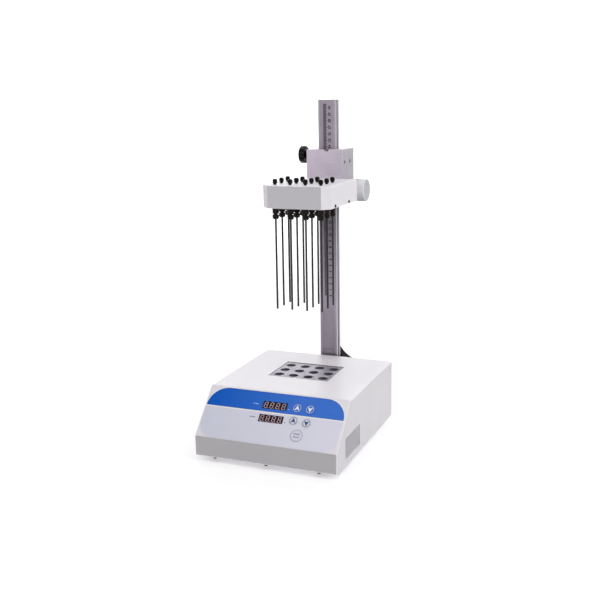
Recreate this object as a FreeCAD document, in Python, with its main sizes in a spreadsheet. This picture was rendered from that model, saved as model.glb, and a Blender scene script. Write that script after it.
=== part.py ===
# Nitrogen sample evaporator: a heated block with twelve wells under an arm of twelve gas needles.
# Millimetres. +X is to the right of the control panel, +Y is to the back, +Z is up.
# The origin lies on the bench under the middle of the whole footprint.
import FreeCAD, Part
import math
import os
import re

import Sketcher
from FreeCAD import Placement, Rotation, Vector

doc = FreeCAD.newDocument("SampleEvaporator")
sheet = doc.addObject("Spreadsheet::Sheet", "Sizes")
places = doc.addObject("App::VarSet", "Places")

# Driving sizes

SIZES = {
    # case
    "case_width": 220.0,
    "case_depth": 262.0,
    "case_height": 90.0,
    "lip_height": 30.4,
    "slope_run": 58.7,
    "skin": 1.5,
    "bend_radius": 3.5,
    "flange_front": 16.0,
    "flange_side": 12.0,
    "plate_gap": 0.4,
    "bottom_plate_skin": 1.5,
    "rear_panel_skin": 1.5,
    # feet and the screws under the lip
    "foot_height": 7.0,
    "foot_radius": 10.0,
    "foot_tip_radius": 8.6,
    "foot_in_x": 26.0,
    "foot_in_front": 36.0,
    "foot_in_back": 26.0,
    "lip_screw_radius": 3.0,
    "lip_screw_crown": 2.1,
    "lip_screw_head": 2.8,
    "lip_screw_shank": 1.9,
    "lip_screw_spread": 80.5,
    "lip_screw_in": 7.0,
    # side windows
    "vent_length": 63.7,
    "vent_height": 32.5,
    "vent_from_front": 33.0,
    "vent_above_floor": 9.5,
    "vent_rim": 5.0,
    "vent_plate": 1.6,
    "vent_slot": 2.2,
    "vent_pitch": 3.9,
    "vent_margin": 2.0,
    # control panel on the slope: u runs to the right and v runs up the slope
    "overlay_width": 213.0,
    "overlay_low": 1.2,
    "overlay_high": 81.4,
    "overlay_skin": 0.5,
    "overlay_round_low": 22.0,
    "overlay_round_high": 27.0,
    "display_width": 37.5,
    "display_height": 11.6,
    "display_body": 7.0,
    "display_sunk": 0.3,
    "display_gap": 0.2,
    "upper_display_u": 0.1,
    "upper_display_v": 61.45,
    "lower_display_u": -0.5,
    "lower_display_v": 40.55,
    "key_radius": 6.8,
    "start_key_radius": 8.2,
    "key_gap": 0.25,
    "key_proud": 0.5,
    "key_crown": 0.3,
    "key_collar": 1.2,
    "key_stem": 2.0,
    "key_travel": 0.5,
    "key_switch_gap": 0.05,
    "key_collar_gap": 0.2,
    "upper_up_u": 34.7,
    "upper_up_v": 61.6,
    "upper_down_u": 54.2,
    "upper_down_v": 61.7,
    "lower_up_u": 34.0,
    "lower_up_v": 41.9,
    "lower_down_u": 54.1,
    "lower_down_v": 40.6,
    "start_u": 44.2,
    "start_v": 20.1,
    "switch_side": 6.0,
    "switch_height": 3.5,
    "board_depth": 10.0,
    "board_skin": 1.6,
    "board_width": 128.0,
    "board_low": 6.0,
    "board_high": 72.0,
    "board_mid_u": 16.0,
    "standoff_radius": 2.5,
    "standoff_in": 4.0,
    # heater
    "block_length": 96.0,
    "block_depth": 78.0,
    "block_height": 62.0,
    "block_gap": 0.4,
    "block_sunk": 0.9,
    "block_from_rear": 94.3,
    "well_radius": 7.4,
    "well_depth": 52.0,
    "well_pitch_x": 24.1,
    "well_pitch_y": 24.6,
    "heating_plate_height": 8.0,
    "heating_plate_rim": 2.0,
    "insulation_wall": 12.0,
    "insulation_gap": 0.5,
    "insulation_drop": 5.0,
    "sensor_radius": 2.5,
    "sensor_gap": 0.1,
    "sensor_length": 42.0,
    "sensor_depth": 28.0,
    "sensor_height": 16.0,
    # mains
    "supply_length": 120.0,
    "supply_depth": 22.0,
    "supply_height": 44.0,
    "supply_from_back": 17.5,
    "inlet_from_side": 38.0,
    "inlet_rise": 44.0,
    "inlet_width": 48.0,
    "inlet_height": 27.0,
    "inlet_flange": 3.0,
    "inlet_flange_rim": 4.0,
    "inlet_depth": 16.0,
    "socket_width": 24.0,
    "socket_height": 16.5,
    "socket_depth": 14.0,
    "socket_pin_width": 4.0,
    "socket_pin_skin": 2.0,
    "socket_pin_pitch": 7.0,
    "switch_width": 22.0,
    "switch_tall": 28.0,
    "switch_flange": 2.0,
    "switch_rim": 2.0,
    "switch_depth": 14.0,
    "rocker_gap": 0.5,
    "rocker_proud": 3.0,
    "rocker_sunk": 4.0,
    "rocker_waist": 0.6,
    "rocker_rest": 0.4,
    "rocker_root": 7.2,
    "rocker_edge": 0.7,
    # post and its foot
    "post_gap": 6.0,
    "post_width": 28.2,
    "post_depth": 18.0,
    "post_top": 502.6,
    "post_foot": 20.0,
    "scale_recess_width": 20.0,
    "scale_recess": 0.8,
    "scale_width": 19.6,
    "scale_skin": 0.6,
    "scale_low": 100.0,
    "groove_width": 10.2,
    "groove_depth": 6.0,
    "side_slot_width": 5.0,
    "side_slot_depth": 1.0,
    "bracket_base": 8.0,
    "bracket_leg": 64.0,
    "bracket_depth": 20.0,
    "bracket_gap": 0.05,
    "bracket_top_half": 8.0,
    "bracket_top": 94.6,
    "bracket_shoulder_half": 36.0,
    "bracket_shoulder": 74.0,
    "bracket_mid_half": 19.0,
    "bracket_mid": 82.3,
    "bracket_wall": 5.0,
    "bracket_web": 6.0,
    "bracket_screw_radius": 2.5,
    "bracket_screw_head": 4.5,
    "bracket_screw_head_height": 3.0,
    "bracket_screw_low": 36.0,
    "bracket_screw_high": 60.0,
    # rack and pinion
    "gear_module": 1.0,
    "gear_backlash": 0.14,
    "rack_width": 10.0,
    "rack_low": 178.0,
    "rack_high": 478.0,
    "pinion_width": 9.0,
    "shaft_radius": 4.0,
    "shaft_left": 28.0,
    "shaft_in_knob": 16.0,
    "bush_wall": 2.0,
    "shaft_gap": 0.05,
    # arm
    "arm_rise": 258.3,
    "carriage_width": 59.8,
    "carriage_height": 78.9,
    "carriage_front_wall": 11.8,
    "carriage_back": 25.0,
    "carriage_cover_skin": 3.5,
    "pad_skin": 1.5,
    "pad_gap": 0.1,
    "pad_strip": 3.2,
    "pad_side_strip": 15.0,
    "gear_room": 12.0,
    "gear_room_width": 18.0,
    "axis_above_arm": 13.1,
    "notch_radius": 4.0,
    "notch_x": 3.0,
    "cover_screw_in": 5.5,
    "cover_screw_radius": 1.5,
    "cover_screw_head": 2.8,
    "cover_screw_head_height": 1.6,
    "cover_screw_length": 9.0,
    "adjuster_radius": 1.6,
    "adjuster_length": 8.0,
    "adjuster_sunk": 0.6,
    "adjuster_rise": 59.1,
    "adjuster_front": 11.0,
    "adjuster_back": 35.8,
    "lift_knob_radius": 18.1,
    "lift_knob_length": 26.0,
    "lift_knob_gap": 1.6,
    "lift_knob_grip": 12.0,
    "grip_notch": 1.4,
    "grip_notch_depth": 0.6,
    "lift_knob_edge": 1.2,
    "lock_rise": 69.6,
    "lock_reach": 48.2,
    "lock_head": 10.2,
    "lock_radius": 13.6,
    "lock_lobe": 4.6,
    "lock_round": 3.0,
    "lock_heel": 1.0,
    "lock_bore_depth": 6.8,
    "lock_hub_radius": 6.0,
    "lock_hub_gap": 1.5,
    "stud_radius": 3.0,
    "stud_gap": 0.05,
    "stud_tip_gap": 0.3,
    # gas chamber
    "chamber_width": 107.3,
    "chamber_height": 33.5,
    "chamber_before_grid": 40.7,
    "chamber_corner": 11.5,
    "chamber_skin": 2.0,
    "chamber_edge": 1.2,
    "chamber_floor_skin": 6.0,
    "chamber_floor_gap": 0.2,
    "manifold_length": 88.0,
    "manifold_depth": 66.0,
    "manifold_height": 20.0,
    "manifold_channel": 2.5,
    "manifold_wall": 4.4,
    "gasket_skin": 1.0,
    "port_radius": 1.3,
    "chamber_screw_radius": 1.5,
    "chamber_screw_head": 2.4,
    "chamber_screw_crown": 1.7,
    "chamber_screw_proud": 1.2,
    "chamber_screw_length": 9.0,
    "chamber_screw_front": 28.7,
    "chamber_screw_back": 89.7,
    "arm_screw_spread": 20.0,
    "arm_screw_rise_low": 13.0,
    "arm_screw_rise_high": 25.0,
    "arm_screw_radius": 2.0,
    "arm_screw_head": 3.6,
    "arm_screw_head_height": 3.0,
    "arm_screw_grip": 8.0,
    # needles and valves
    "needle_radius": 1.25,
    "needle_bore": 0.7,
    "needle_length": 150.0,
    "needle_seat": 4.4,
    "fitting_radius": 4.9,
    "fitting_head": 9.2,
    "fitting_neck_radius": 2.9,
    "fitting_neck": 4.8,
    "fitting_stub_radius": 2.4,
    "fitting_stub": 5.0,
    "fitting_gap": 0.05,
    "nut_radius": 4.9,
    "nut_drop": 17.4,
    "nut_height": 6.9,
    "nut_tip_radius": 3.5,
    "nut_tip": 1.6,
    "valve_knob_radius": 3.6,
    "valve_knob_height": 6.8,
    "valve_knob_lift": 1.9,
    "valve_knob_crown": 2.6,
    "valve_knob_heel": 1.2,
    "valve_neck_lift": 0.3,
    "valve_neck_radius": 2.3,
    "valve_stem_radius": 1.5,
    "valve_stem_gap": 0.05,
    "valve_stem_in": 12.0,
    # gas inlet
    "gas_inlet_x": -42.0,
    "gas_inlet_rise": 16.5,
    "gas_inlet_reach": 22.0,
    "gas_inlet_radius": 4.0,
    "gas_inlet_ridge": 0.7,
    "gas_inlet_hex": 6.5,
    "gas_inlet_hex_length": 5.0,
    "gas_inlet_bore": 2.0,
    "gas_inlet_root": 3.0,
    "gas_inlet_seat": 6.0,
    "gas_inlet_ramp": 1.7,
}

# Counts, not sizes
WELL_COLUMNS = 4
WELL_ROWS = 3
PINION_TEETH = 20
GRIP_NOTCHES = 24
LOCK_LOBES = 8
BARB_RIDGES = 3

# Gear proportions, in modules but for the angle in degrees
PRESSURE_ANGLE = 20
TOOTH_DEPTH = 2.25
TOOTH_ROOT = 1.25
FLANK_STEPS = 4

for row, (alias, value) in enumerate(SIZES.items(), 1):
    sheet.set(f"A{row}", alias.replace("_", " "))
    sheet.set(f"B{row}", str(value))
    sheet.setAlias(f"B{row}", alias)
doc.recompute()

WORD = re.compile(r"[a-z][a-z_0-9]*")
known_places = set()


def formula(text):
    """Turn plain size and place names into references to the sheet and to the list of places."""

    def owner(match):
        word = match.group(0)
        if word in SIZES:
            return "Sizes." + word
        if word in known_places:
            return "Places." + word
        return word

    return WORD.sub(owner, text)


def derive(name, text):
    """Name a place that follows from the driving sizes."""
    places.addProperty("App::PropertyFloat", name, "Derived")
    places.setExpression(name, formula(text))
    places.recompute()
    known_places.add(name)


places.addProperty("App::PropertyFloat", "scratch", "Derived")


def number(text):
    """The present value of a formula, for outlines and shapes that are built from numbers."""
    places.setExpression("scratch", formula(text))
    places.recompute()
    return places.scratch


# Places that follow from the sizes

derive("pitch_radius", f"gear_module * {PINION_TEETH} / 2")
derive("axis_behind_post", "pitch_radius - gear_module")
derive("reach_behind_post", "max(carriage_back; axis_behind_post + lift_knob_radius)")
derive("case_front", "-(case_depth + post_gap + post_depth + reach_behind_post) / 2")
derive("case_rear", "case_front + case_depth")
derive("case_floor", "foot_height")
derive("case_top", "case_floor + case_height")
derive("slope_foot", "case_floor + lip_height")
derive("slope_angle", "atan2(case_height - lip_height; slope_run) / 1deg")
derive("post_front", "case_rear + post_gap")
derive("post_rear", "post_front + post_depth")
derive("post_mid", "post_front + post_depth / 2")
derive("block_mid", "case_rear - block_from_rear")
derive("block_top", "case_top - block_sunk")
derive("block_foot", "block_top - block_height")
derive("plate_foot", "block_foot - heating_plate_height")
derive("chassis_top", "case_floor + skin + bottom_plate_skin")
derive("arm_floor", "block_top + arm_rise")
derive("arm_top", "arm_floor + carriage_height")
derive("carriage_front", "post_front - carriage_front_wall")
derive("carriage_rear", "post_rear + carriage_back")
derive("cover_front", "carriage_rear - carriage_cover_skin")
derive("chamber_front", "block_mid - chamber_before_grid")
derive("chamber_top", "arm_floor + chamber_height")
derive("axis_y", "post_rear + axis_behind_post")
derive("axis_z", "arm_floor + axis_above_arm")
derive("manifold_foot", "arm_floor + chamber_floor_skin + gasket_skin")
derive("manifold_top", "manifold_foot + manifold_height")
derive("board_top", "-skin - board_depth")
derive("inlet_x", "case_width / 2 - inlet_from_side")
derive("switch_x", "-inlet_x")


# Helpers for primitives and booleans

ALONG = {
    "z": Rotation(),
    "x": Rotation(Vector(0, 1, 0), 90),
    "y": Rotation(Vector(1, 0, 0), -90),
    "-z": Rotation(Vector(1, 0, 0), 180),
    "-x": Rotation(Vector(0, 1, 0), -90),
    "-y": Rotation(Vector(1, 0, 0), 90),
}


def put(thing, at, along="z"):
    """Place a thing by three formulas, with its own z axis along the named direction."""
    thing.Placement = Placement(Vector(), ALONG[along])
    for axis, text in zip("xyz", at):
        thing.setExpression("Placement.Base." + axis, formula(text))
    return thing


def block(name, x, y, z):
    """A box given by its low and high formula along each axis."""
    box = doc.addObject("Part::Box", name)
    for size, (low, high) in zip(("Length", "Width", "Height"), (x, y, z)):
        box.setExpression(size, formula(f"({high}) - ({low})"))
    return put(box, (x[0], y[0], z[0]))


def rod(name, radius, length, at, along="z"):
    cylinder = doc.addObject("Part::Cylinder", name)
    cylinder.setExpression("Radius", formula(radius))
    cylinder.setExpression("Height", formula(length))
    return put(cylinder, at, along)


def taper(name, radius_start, radius_end, length, at, along="z"):
    cone = doc.addObject("Part::Cone", name)
    cone.setExpression("Radius1", formula(radius_start))
    cone.setExpression("Radius2", formula(radius_end))
    cone.setExpression("Height", formula(length))
    return put(cone, at, along)


def joined(name, things):
    fuse = doc.addObject("Part::MultiFuse", name)
    fuse.Shapes = things
    return fuse


def grouped(name, things):
    """Separate solids under one name."""
    group = doc.addObject("Part::Compound", name)
    group.Links = things
    return group


def cut(name, base, tools):
    """The base less its tools, which may touch or overlap one another."""
    result = doc.addObject("Part::Cut", name)
    result.Base = base
    result.Tool = tools[0] if len(tools) == 1 else joined(name + "_tools", tools)
    return result


# Helpers for sketched bodies


def origin_plane(body, role):
    return next(f for f in body.Origin.OriginFeatures if f.Role == role)


def drawn(body, name, plane, corners):
    """A closed outline on one of the body's own planes, each corner held by two formulas."""
    sketch = body.newObject("Sketcher::SketchObject", name)
    sketch.AttachmentSupport = [(origin_plane(body, plane), "")]
    sketch.MapMode = "FlatFace"
    spots = [Vector(number(a), number(b), 0) for a, b in corners]
    count = len(spots)
    for i, spot in enumerate(spots):
        sketch.addGeometry(Part.LineSegment(spot, spots[(i + 1) % count]))
    for i in range(count):
        sketch.addConstraint(Sketcher.Constraint("Coincident", i, 2, (i + 1) % count, 1))
    for i, pair in enumerate(corners):
        for kind, start, text in zip(("DistanceX", "DistanceY"), spots[i], pair):
            held = sketch.addConstraint(Sketcher.Constraint(kind, i, 1, start))
            sketch.setExpression(f"Constraints[{held}]", formula(text))
    return sketch


def turned(name, corners, at, along="z"):
    """A turned piece: its half outline as (radius, height) pairs, spun round its own axis."""
    body = doc.addObject("PartDesign::Body", name)
    sketch = drawn(body, name + "_outline", "XZ_Plane", corners)
    turn = body.newObject("PartDesign::Revolution", name + "_turn")
    turn.Profile = sketch
    turn.ReferenceAxis = (sketch, ["V_Axis"])
    turn.Angle = 360
    body.Tip = turn
    return put(body, at, along)


def padded(name, plane, corners, length, middle=False):
    """A body with one outline padded by a formula, to one side or to both."""
    body = doc.addObject("PartDesign::Body", name)
    sketch = drawn(body, name + "_outline", plane, corners)
    pad = body.newObject("PartDesign::Pad", name + "_pad")
    pad.Profile = sketch
    pad.setExpression("Length", formula(length))
    pad.Midplane = middle
    body.Tip = pad
    return body


def rounded(body, name, radius, wanted):
    """Fillet the edges of the body's tip that the test picks out."""
    base = body.Tip
    if "Touched" in base.State:
        doc.recompute()
    names = [f"Edge{i}" for i, e in enumerate(base.Shape.Edges, 1) if wanted(e)]
    fillet = body.newObject("PartDesign::Fillet", name)
    fillet.Base = (base, names)
    fillet.setExpression("Radius", formula(radius))
    body.Tip = fillet
    return body


def runs_along(edge, axis):
    start, end = edge.Vertexes[0].Point, edge.Vertexes[-1].Point
    span = end - start
    return len(edge.Vertexes) == 2 and abs(abs(span.dot(axis)) - span.Length) < 1e-6


def is_rim(edge):
    """True for a full circle, as at the end of a turned piece."""
    return len(edge.Vertexes) == 1 and hasattr(edge.Curve, "Radius")


def on_slope(thing):
    """Carry a thing drawn in panel terms (u, v, out) to the sloping panel."""
    thing.Placement = Placement(Vector(), Rotation(Vector(1, 0, 0), 45))
    thing.setExpression("Placement.Rotation.Angle", "Places.slope_angle")
    thing.setExpression("Placement.Base.y", "Places.case_front")
    thing.setExpression("Placement.Base.z", "Places.slope_foot")
    return thing


nodes = {}


def node(label, thing):
    """Register a finished piece under the name of its file."""
    thing.Label = label
    nodes[label] = thing
    return thing


X, Y, Z = Vector(1, 0, 0), Vector(0, 1, 0), Vector(0, 0, 1)

GRID = [
    (f"({column} - {(WELL_COLUMNS - 1) / 2}) * well_pitch_x",
     f"block_mid + ({row} - {(WELL_ROWS - 1) / 2}) * well_pitch_y")
    for row in range(WELL_ROWS)
    for column in range(WELL_COLUMNS)
]


# The panel's cut-outs, shared by the overlay and the cover

DISPLAYS = {
    "upper_display": ("upper_display_u", "upper_display_v"),
    "lower_display": ("lower_display_u", "lower_display_v"),
}
KEYS = {
    "upper_up_key": ("upper_up_u", "upper_up_v", "key_radius"),
    "upper_down_key": ("upper_down_u", "upper_down_v", "key_radius"),
    "lower_up_key": ("lower_up_u", "lower_up_v", "key_radius"),
    "lower_down_key": ("lower_down_u", "lower_down_v", "key_radius"),
    "start_key": ("start_u", "start_v", "start_key_radius"),
}


def panel_cuts(name, key_margin, low, high):
    """Tools for the two display windows and the five key holes, from low to high along out."""
    tools = []
    for label, (u, v) in DISPLAYS.items():
        tools.append(block(
            f"{name}_{label}",
            (f"{u} - display_width / 2 - display_gap", f"{u} + display_width / 2 + display_gap"),
            (f"{v} - display_height / 2 - display_gap", f"{v} + display_height / 2 + display_gap"),
            (low, high),
        ))
    for label, (u, v, radius) in KEYS.items():
        tools.append(rod(
            f"{name}_{label}", f"{radius} + {key_margin}", f"({high}) - ({low})", (u, v, low)
        ))
    return tools


# Cover

CASE_OUTLINE = [
    ("case_front", "case_floor"),
    ("case_rear", "case_floor"),
    ("case_rear", "case_top"),
    ("case_front + slope_run", "case_top"),
    ("case_front", "slope_foot"),
]
SLOPE = "slope_angle"
ROOM_OUTLINE = [
    ("case_front + skin", "case_floor + skin"),
    ("case_rear + skin", "case_floor + skin"),
    ("case_rear + skin", "case_top - skin"),
    (f"case_front + slope_run + skin * (1 - cos({SLOPE})) / sin({SLOPE})", "case_top - skin"),
    ("case_front + skin", f"slope_foot - skin * (1 - sin({SLOPE})) / cos({SLOPE})"),
]


def base_shell():
    """The folded cover: front lip, slope, top and sides in one skin, open at the back and below."""
    rear = number("case_rear")
    outside = padded("case_outside", "YZ_Plane", CASE_OUTLINE, "case_width", middle=True)
    rounded(outside, "case_bends", "bend_radius", lambda e: (
        e.CenterOfMass.y < rear - 1 and not (runs_along(e, Y) and e.CenterOfMass.z < number("slope_foot"))
    ))
    inside = padded("case_inside", "YZ_Plane", ROOM_OUTLINE, "case_width - 2 * skin", middle=True)
    rounded(inside, "case_inner_bends", "bend_radius - skin", lambda e: (
        e.CenterOfMass.y < rear - 1 and not (runs_along(e, Y) and e.CenterOfMass.z < number("slope_foot"))
    ))
    below = block(
        "cover_underside",
        ("-case_width / 2 + flange_side", "case_width / 2 - flange_side"),
        ("case_front + flange_front", "case_rear + skin"),
        ("case_floor - skin", "case_floor + 2 * skin"),
    )
    mouth = block(
        "block_mouth",
        ("-block_length / 2 - block_gap", "block_length / 2 + block_gap"),
        ("block_mid - block_depth / 2 - block_gap", "block_mid + block_depth / 2 + block_gap"),
        ("case_top - 2 * skin", "case_top + skin"),
    )
    windows = block(
        "vent_windows",
        ("-case_width / 2 - skin", "case_width / 2 + skin"),
        ("case_front + vent_from_front", "case_front + vent_from_front + vent_length"),
        ("case_floor + vent_above_floor", "case_floor + vent_above_floor + vent_height"),
    )
    screw_holes = [
        rod(f"lip_hole_{i}", "lip_screw_shank + key_gap", "4 * skin",
            (f"{i} * lip_screw_spread", "case_front + lip_screw_in", "case_floor - skin"))
        for i in (-1, 0, 1)
    ]
    panel = on_slope(grouped("cover_panel_cuts", panel_cuts("cover", "key_gap", "-3 * skin", "skin")))
    hollow = cut("cover_hollow", outside, [inside])
    return node("base_shell", cut("cover", hollow, [below, mouth, windows, *screw_holes, panel]))


def lip_screws():
    """Three pan-head screws up through the front flange."""
    screws = []
    for i in (-1, 0, 1):
        screws.append(turned(f"lip_screw_{i + 2}", [
            ("0", "-lip_screw_head"),
            ("lip_screw_crown", "-lip_screw_head"),
            ("lip_screw_radius", "-lip_screw_head * 0.5"),
            ("lip_screw_radius", "0"),
            ("lip_screw_shank", "0"),
            ("lip_screw_shank", "skin + bottom_plate_skin + 2"),
            ("0", "skin + bottom_plate_skin + 2"),
        ], (f"{i} * lip_screw_spread", "case_front + lip_screw_in", "case_floor")))
    return node("lip_screws", grouped("lip_screw_set", screws))


def bottom_plate():
    """The chassis floor, laid on the cover's flanges, with holes for the lip screws."""
    plate = block(
        "chassis_plate",
        ("-case_width / 2 + skin + plate_gap", "case_width / 2 - skin - plate_gap"),
        ("case_front + bend_radius", "case_rear - rear_panel_skin"),
        ("case_floor + skin", "chassis_top"),
    )
    holes = [
        rod(f"plate_hole_{i}", "lip_screw_shank + key_gap", "4 * skin",
            (f"{i} * lip_screw_spread", "case_front + lip_screw_in", "case_floor"))
        for i in (-1, 0, 1)
    ]
    return node("bottom_plate", cut("chassis", plate, holes))


def rear_panel():
    """The chassis rear, with cut-outs for the mains inlet and the switch."""
    low, high = "case_rear - 2 * rear_panel_skin", "case_rear + rear_panel_skin"
    half = "(case_width / 2 - skin - plate_gap)"
    plate = padded("rear_plate", "XZ_Plane", [
        (f"-{half}", "case_floor + skin"),
        (half, "case_floor + skin"),
        (half, "case_top - skin - plate_gap"),
        (f"-{half}", "case_top - skin - plate_gap"),
    ], "rear_panel_skin")
    middle = number("case_floor + case_height / 2")
    rounded(plate, "rear_plate_corners", "bend_radius - skin",
            lambda e: runs_along(e, Y) and e.CenterOfMass.z > middle)
    put(plate, ("0", "case_rear", "0"))
    inlet = block(
        "inlet_hole",
        ("inlet_x - inlet_width / 2", "inlet_x + inlet_width / 2"),
        (low, high),
        ("case_floor + inlet_rise - inlet_height / 2", "case_floor + inlet_rise + inlet_height / 2"),
    )
    switch = block(
        "switch_hole",
        ("switch_x - switch_width / 2", "switch_x + switch_width / 2"),
        (low, high),
        ("case_floor + inlet_rise - switch_tall / 2", "case_floor + inlet_rise + switch_tall / 2"),
    )
    return node("rear_panel", cut("rear_wall", plate, [inlet, switch]))


def rubber_feet():
    """Four turned rubber feet with a sunk screw hole."""
    feet = []
    for side in (-1, 1):
        for name, y in (("front", "case_front + foot_in_front"), ("back", "case_rear - foot_in_back")):
            x = f"{side} * (case_width / 2 - foot_in_x)"
            foot = taper(f"foot_{name}_{side}", "foot_tip_radius", "foot_radius", "foot_height + skin",
                         (x, y, "0"))
            sink = rod(f"foot_sink_{name}_{side}", "foot_tip_radius / 2", "foot_height / 2",
                       (x, y, "0"))
            feet.append(cut(f"foot_body_{name}_{side}", foot, [sink]))
    return node("rubber_feet", grouped("foot_set", feet))


def vent_grilles():
    """A slatted insert behind each side window."""
    slots = int((number("vent_length") - 2 * number("vent_margin")) // number("vent_pitch"))
    grilles = []
    for side in (-1, 1):
        inner = "case_width / 2 - skin - vent_plate"
        outer = "case_width / 2 - skin"
        x = (inner, outer) if side > 0 else ("-(" + outer + ")", "-(" + inner + ")")
        plate = block(
            f"grille_plate_{side}", x,
            ("case_front + vent_from_front - vent_rim",
             "case_front + vent_from_front + vent_length + vent_rim"),
            ("case_floor + vent_above_floor - vent_rim",
             "case_floor + vent_above_floor + vent_height + vent_rim"),
        )
        tools = []
        for i in range(slots):
            along = f"({i} - {(slots - 1) / 2}) * vent_pitch"
            middle = f"case_front + vent_from_front + vent_length / 2 + {along}"
            tools.append(block(
                f"grille_slot_{side}_{i}",
                (f"{x[0]} - skin", f"{x[1]} + skin"),
                (f"{middle} - vent_slot / 2", f"{middle} + vent_slot / 2"),
                ("case_floor + vent_above_floor + vent_margin / 2",
                 "case_floor + vent_above_floor + vent_height - vent_margin / 2"),
            ))
        grilles.append(cut(f"grille_{side}", plate, tools))
    return node("vent_grilles", grouped("grille_pair", grilles))


# Control panel


def panel_overlay():
    """The printed film on the slope, with its rounded corners, windows and key holes."""
    film = padded("film", "XY_Plane", [
        ("-overlay_width / 2", "overlay_low"),
        ("overlay_width / 2", "overlay_low"),
        ("overlay_width / 2", "overlay_high"),
        ("-overlay_width / 2", "overlay_high"),
    ], "overlay_skin")
    middle = number("(overlay_low + overlay_high) / 2")
    rounded(film, "film_low_corners", "overlay_round_low",
            lambda e: runs_along(e, Z) and e.CenterOfMass.y < middle)
    rounded(film, "film_high_corners", "overlay_round_high", lambda e: (
        runs_along(e, Z) and e.CenterOfMass.y > middle
        and abs(e.CenterOfMass.y - number("overlay_high")) < 1e-3
    ))
    tools = panel_cuts("film", "key_gap", "-skin", "2 * skin")
    return node("panel_overlay", on_slope(cut("overlay", film, tools)))


def display_modules():
    """Two four-digit display modules that stand on the board behind the windows."""
    modules = []
    for label, (u, v) in DISPLAYS.items():
        modules.append(block(
            f"{label}_module",
            (f"{u} - display_width / 2", f"{u} + display_width / 2"),
            (f"{v} - display_height / 2", f"{v} + display_height / 2"),
            ("board_top", "overlay_skin - display_sunk"),
        ))
    return node("display_modules", on_slope(grouped("display_set", modules)))


def keys():
    """Five domed key caps; each has a collar under the cover and a stem down to its switch."""
    for label, (u, v, radius) in KEYS.items():
        cap = turned(f"{label}_cap", [
            ("0", "board_top + switch_height + key_travel + key_switch_gap"),
            ("key_stem", "board_top + switch_height + key_travel + key_switch_gap"),
            ("key_stem", "-skin - key_collar - key_collar_gap"),
            (f"{radius} + key_collar", "-skin - key_collar - key_collar_gap"),
            (f"{radius} + key_collar", "-skin - key_collar_gap"),
            (radius, "-skin - key_collar_gap"),
            (radius, "overlay_skin + key_proud - key_crown"),
            (f"{radius} - 1", "overlay_skin + key_proud"),
            ("0", "overlay_skin + key_proud"),
        ], (u, v, "0"))
        node(label, on_slope(grouped(f"{label}_set", [cap])))


def key_switches():
    """The small square switches that the key stems press."""
    switches = []
    for label, (u, v, _) in KEYS.items():
        switches.append(block(
            f"{label}_switch",
            (f"{u} - switch_side / 2", f"{u} + switch_side / 2"),
            (f"{v} - switch_side / 2", f"{v} + switch_side / 2"),
            ("board_top", "board_top + switch_height"),
        ))
    return node("key_switches", on_slope(grouped("switch_set", switches)))


def control_board():
    board = block(
        "board",
        ("board_mid_u - board_width / 2", "board_mid_u + board_width / 2"),
        ("board_low", "board_high"),
        ("board_top - board_skin", "board_top"),
    )
    return node("control_board", on_slope(grouped("board_set", [board])))


def board_standoffs():
    """Four posts between the board and the underside of the slope."""
    posts = []
    for side in (-1, 1):
        for v in ("board_low + standoff_in", "board_high - standoff_in"):
            posts.append(rod(
                f"standoff_{side}_{len(posts)}", "standoff_radius", "-skin - board_top",
                (f"board_mid_u + {side} * (board_width / 2 - standoff_in)", v, "board_top"),
            ))
    return node("board_standoffs", on_slope(grouped("standoff_set", posts)))


# Heater


def heater_block():
    """The aluminium block, with its wells and the hole for the temperature sensor."""
    blank = block(
        "block_blank",
        ("-block_length / 2", "block_length / 2"),
        ("block_mid - block_depth / 2", "block_mid + block_depth / 2"),
        ("block_foot", "block_top"),
    )
    wells = [
        rod(f"well_{i}", "well_radius", "well_depth + skin", (x, y, "block_top - well_depth"))
        for i, (x, y) in enumerate(GRID)
    ]
    sensor = rod("sensor_hole", "sensor_radius + sensor_gap", "sensor_depth + skin",
                 ("0", "block_mid + block_depth / 2 - sensor_depth", "block_foot + sensor_height"), "y")
    return node("heater_block", cut("block_bored", blank, [*wells, sensor]))


def temperature_sensor():
    probe = rod("probe", "sensor_radius", "sensor_length",
                ("0", "block_mid + block_depth / 2 - sensor_depth + sensor_gap",
                 "block_foot + sensor_height"), "y")
    return node("temperature_sensor", grouped("probe_set", [probe]))


def heating_plate():
    """The flat heater under the block."""
    plate = block(
        "hot_plate",
        ("-block_length / 2 - heating_plate_rim", "block_length / 2 + heating_plate_rim"),
        ("block_mid - block_depth / 2 - heating_plate_rim",
         "block_mid + block_depth / 2 + heating_plate_rim"),
        ("plate_foot", "block_foot"),
    )
    return node("heating_plate", grouped("hot_plate_set", [plate]))


def block_insulation():
    """A jacket that carries the heating plate and closes round the block."""
    half_x = "(block_length / 2 + heating_plate_rim + insulation_gap)"
    half_y = "(block_depth / 2 + heating_plate_rim + insulation_gap)"
    jacket = block(
        "jacket",
        (f"-{half_x} - insulation_wall", f"{half_x} + insulation_wall"),
        (f"block_mid - {half_y} - insulation_wall", f"block_mid + {half_y} + insulation_wall"),
        ("chassis_top", "case_top - insulation_drop"),
    )
    room = block(
        "jacket_room",
        (f"-{half_x}", half_x),
        (f"block_mid - {half_y}", f"block_mid + {half_y}"),
        ("plate_foot", "case_top"),
    )
    lead_hole = rod("jacket_hole", "sensor_radius + insulation_gap", "2 * insulation_wall",
                    ("0", f"block_mid + {half_y} - insulation_wall / 2",
                     "block_foot + sensor_height"), "y")
    return node("block_insulation", cut("jacket_open", jacket, [room, lead_hole]))


# Mains


def power_supply():
    """The supply board's housing, standing on the chassis floor behind the heater."""
    body = block(
        "supply",
        ("-supply_length / 2", "supply_length / 2"),
        ("case_rear - supply_from_back - supply_depth", "case_rear - supply_from_back"),
        ("chassis_top", "chassis_top + supply_height"),
    )
    return node("power_supply", grouped("supply_set", [body]))


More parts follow.
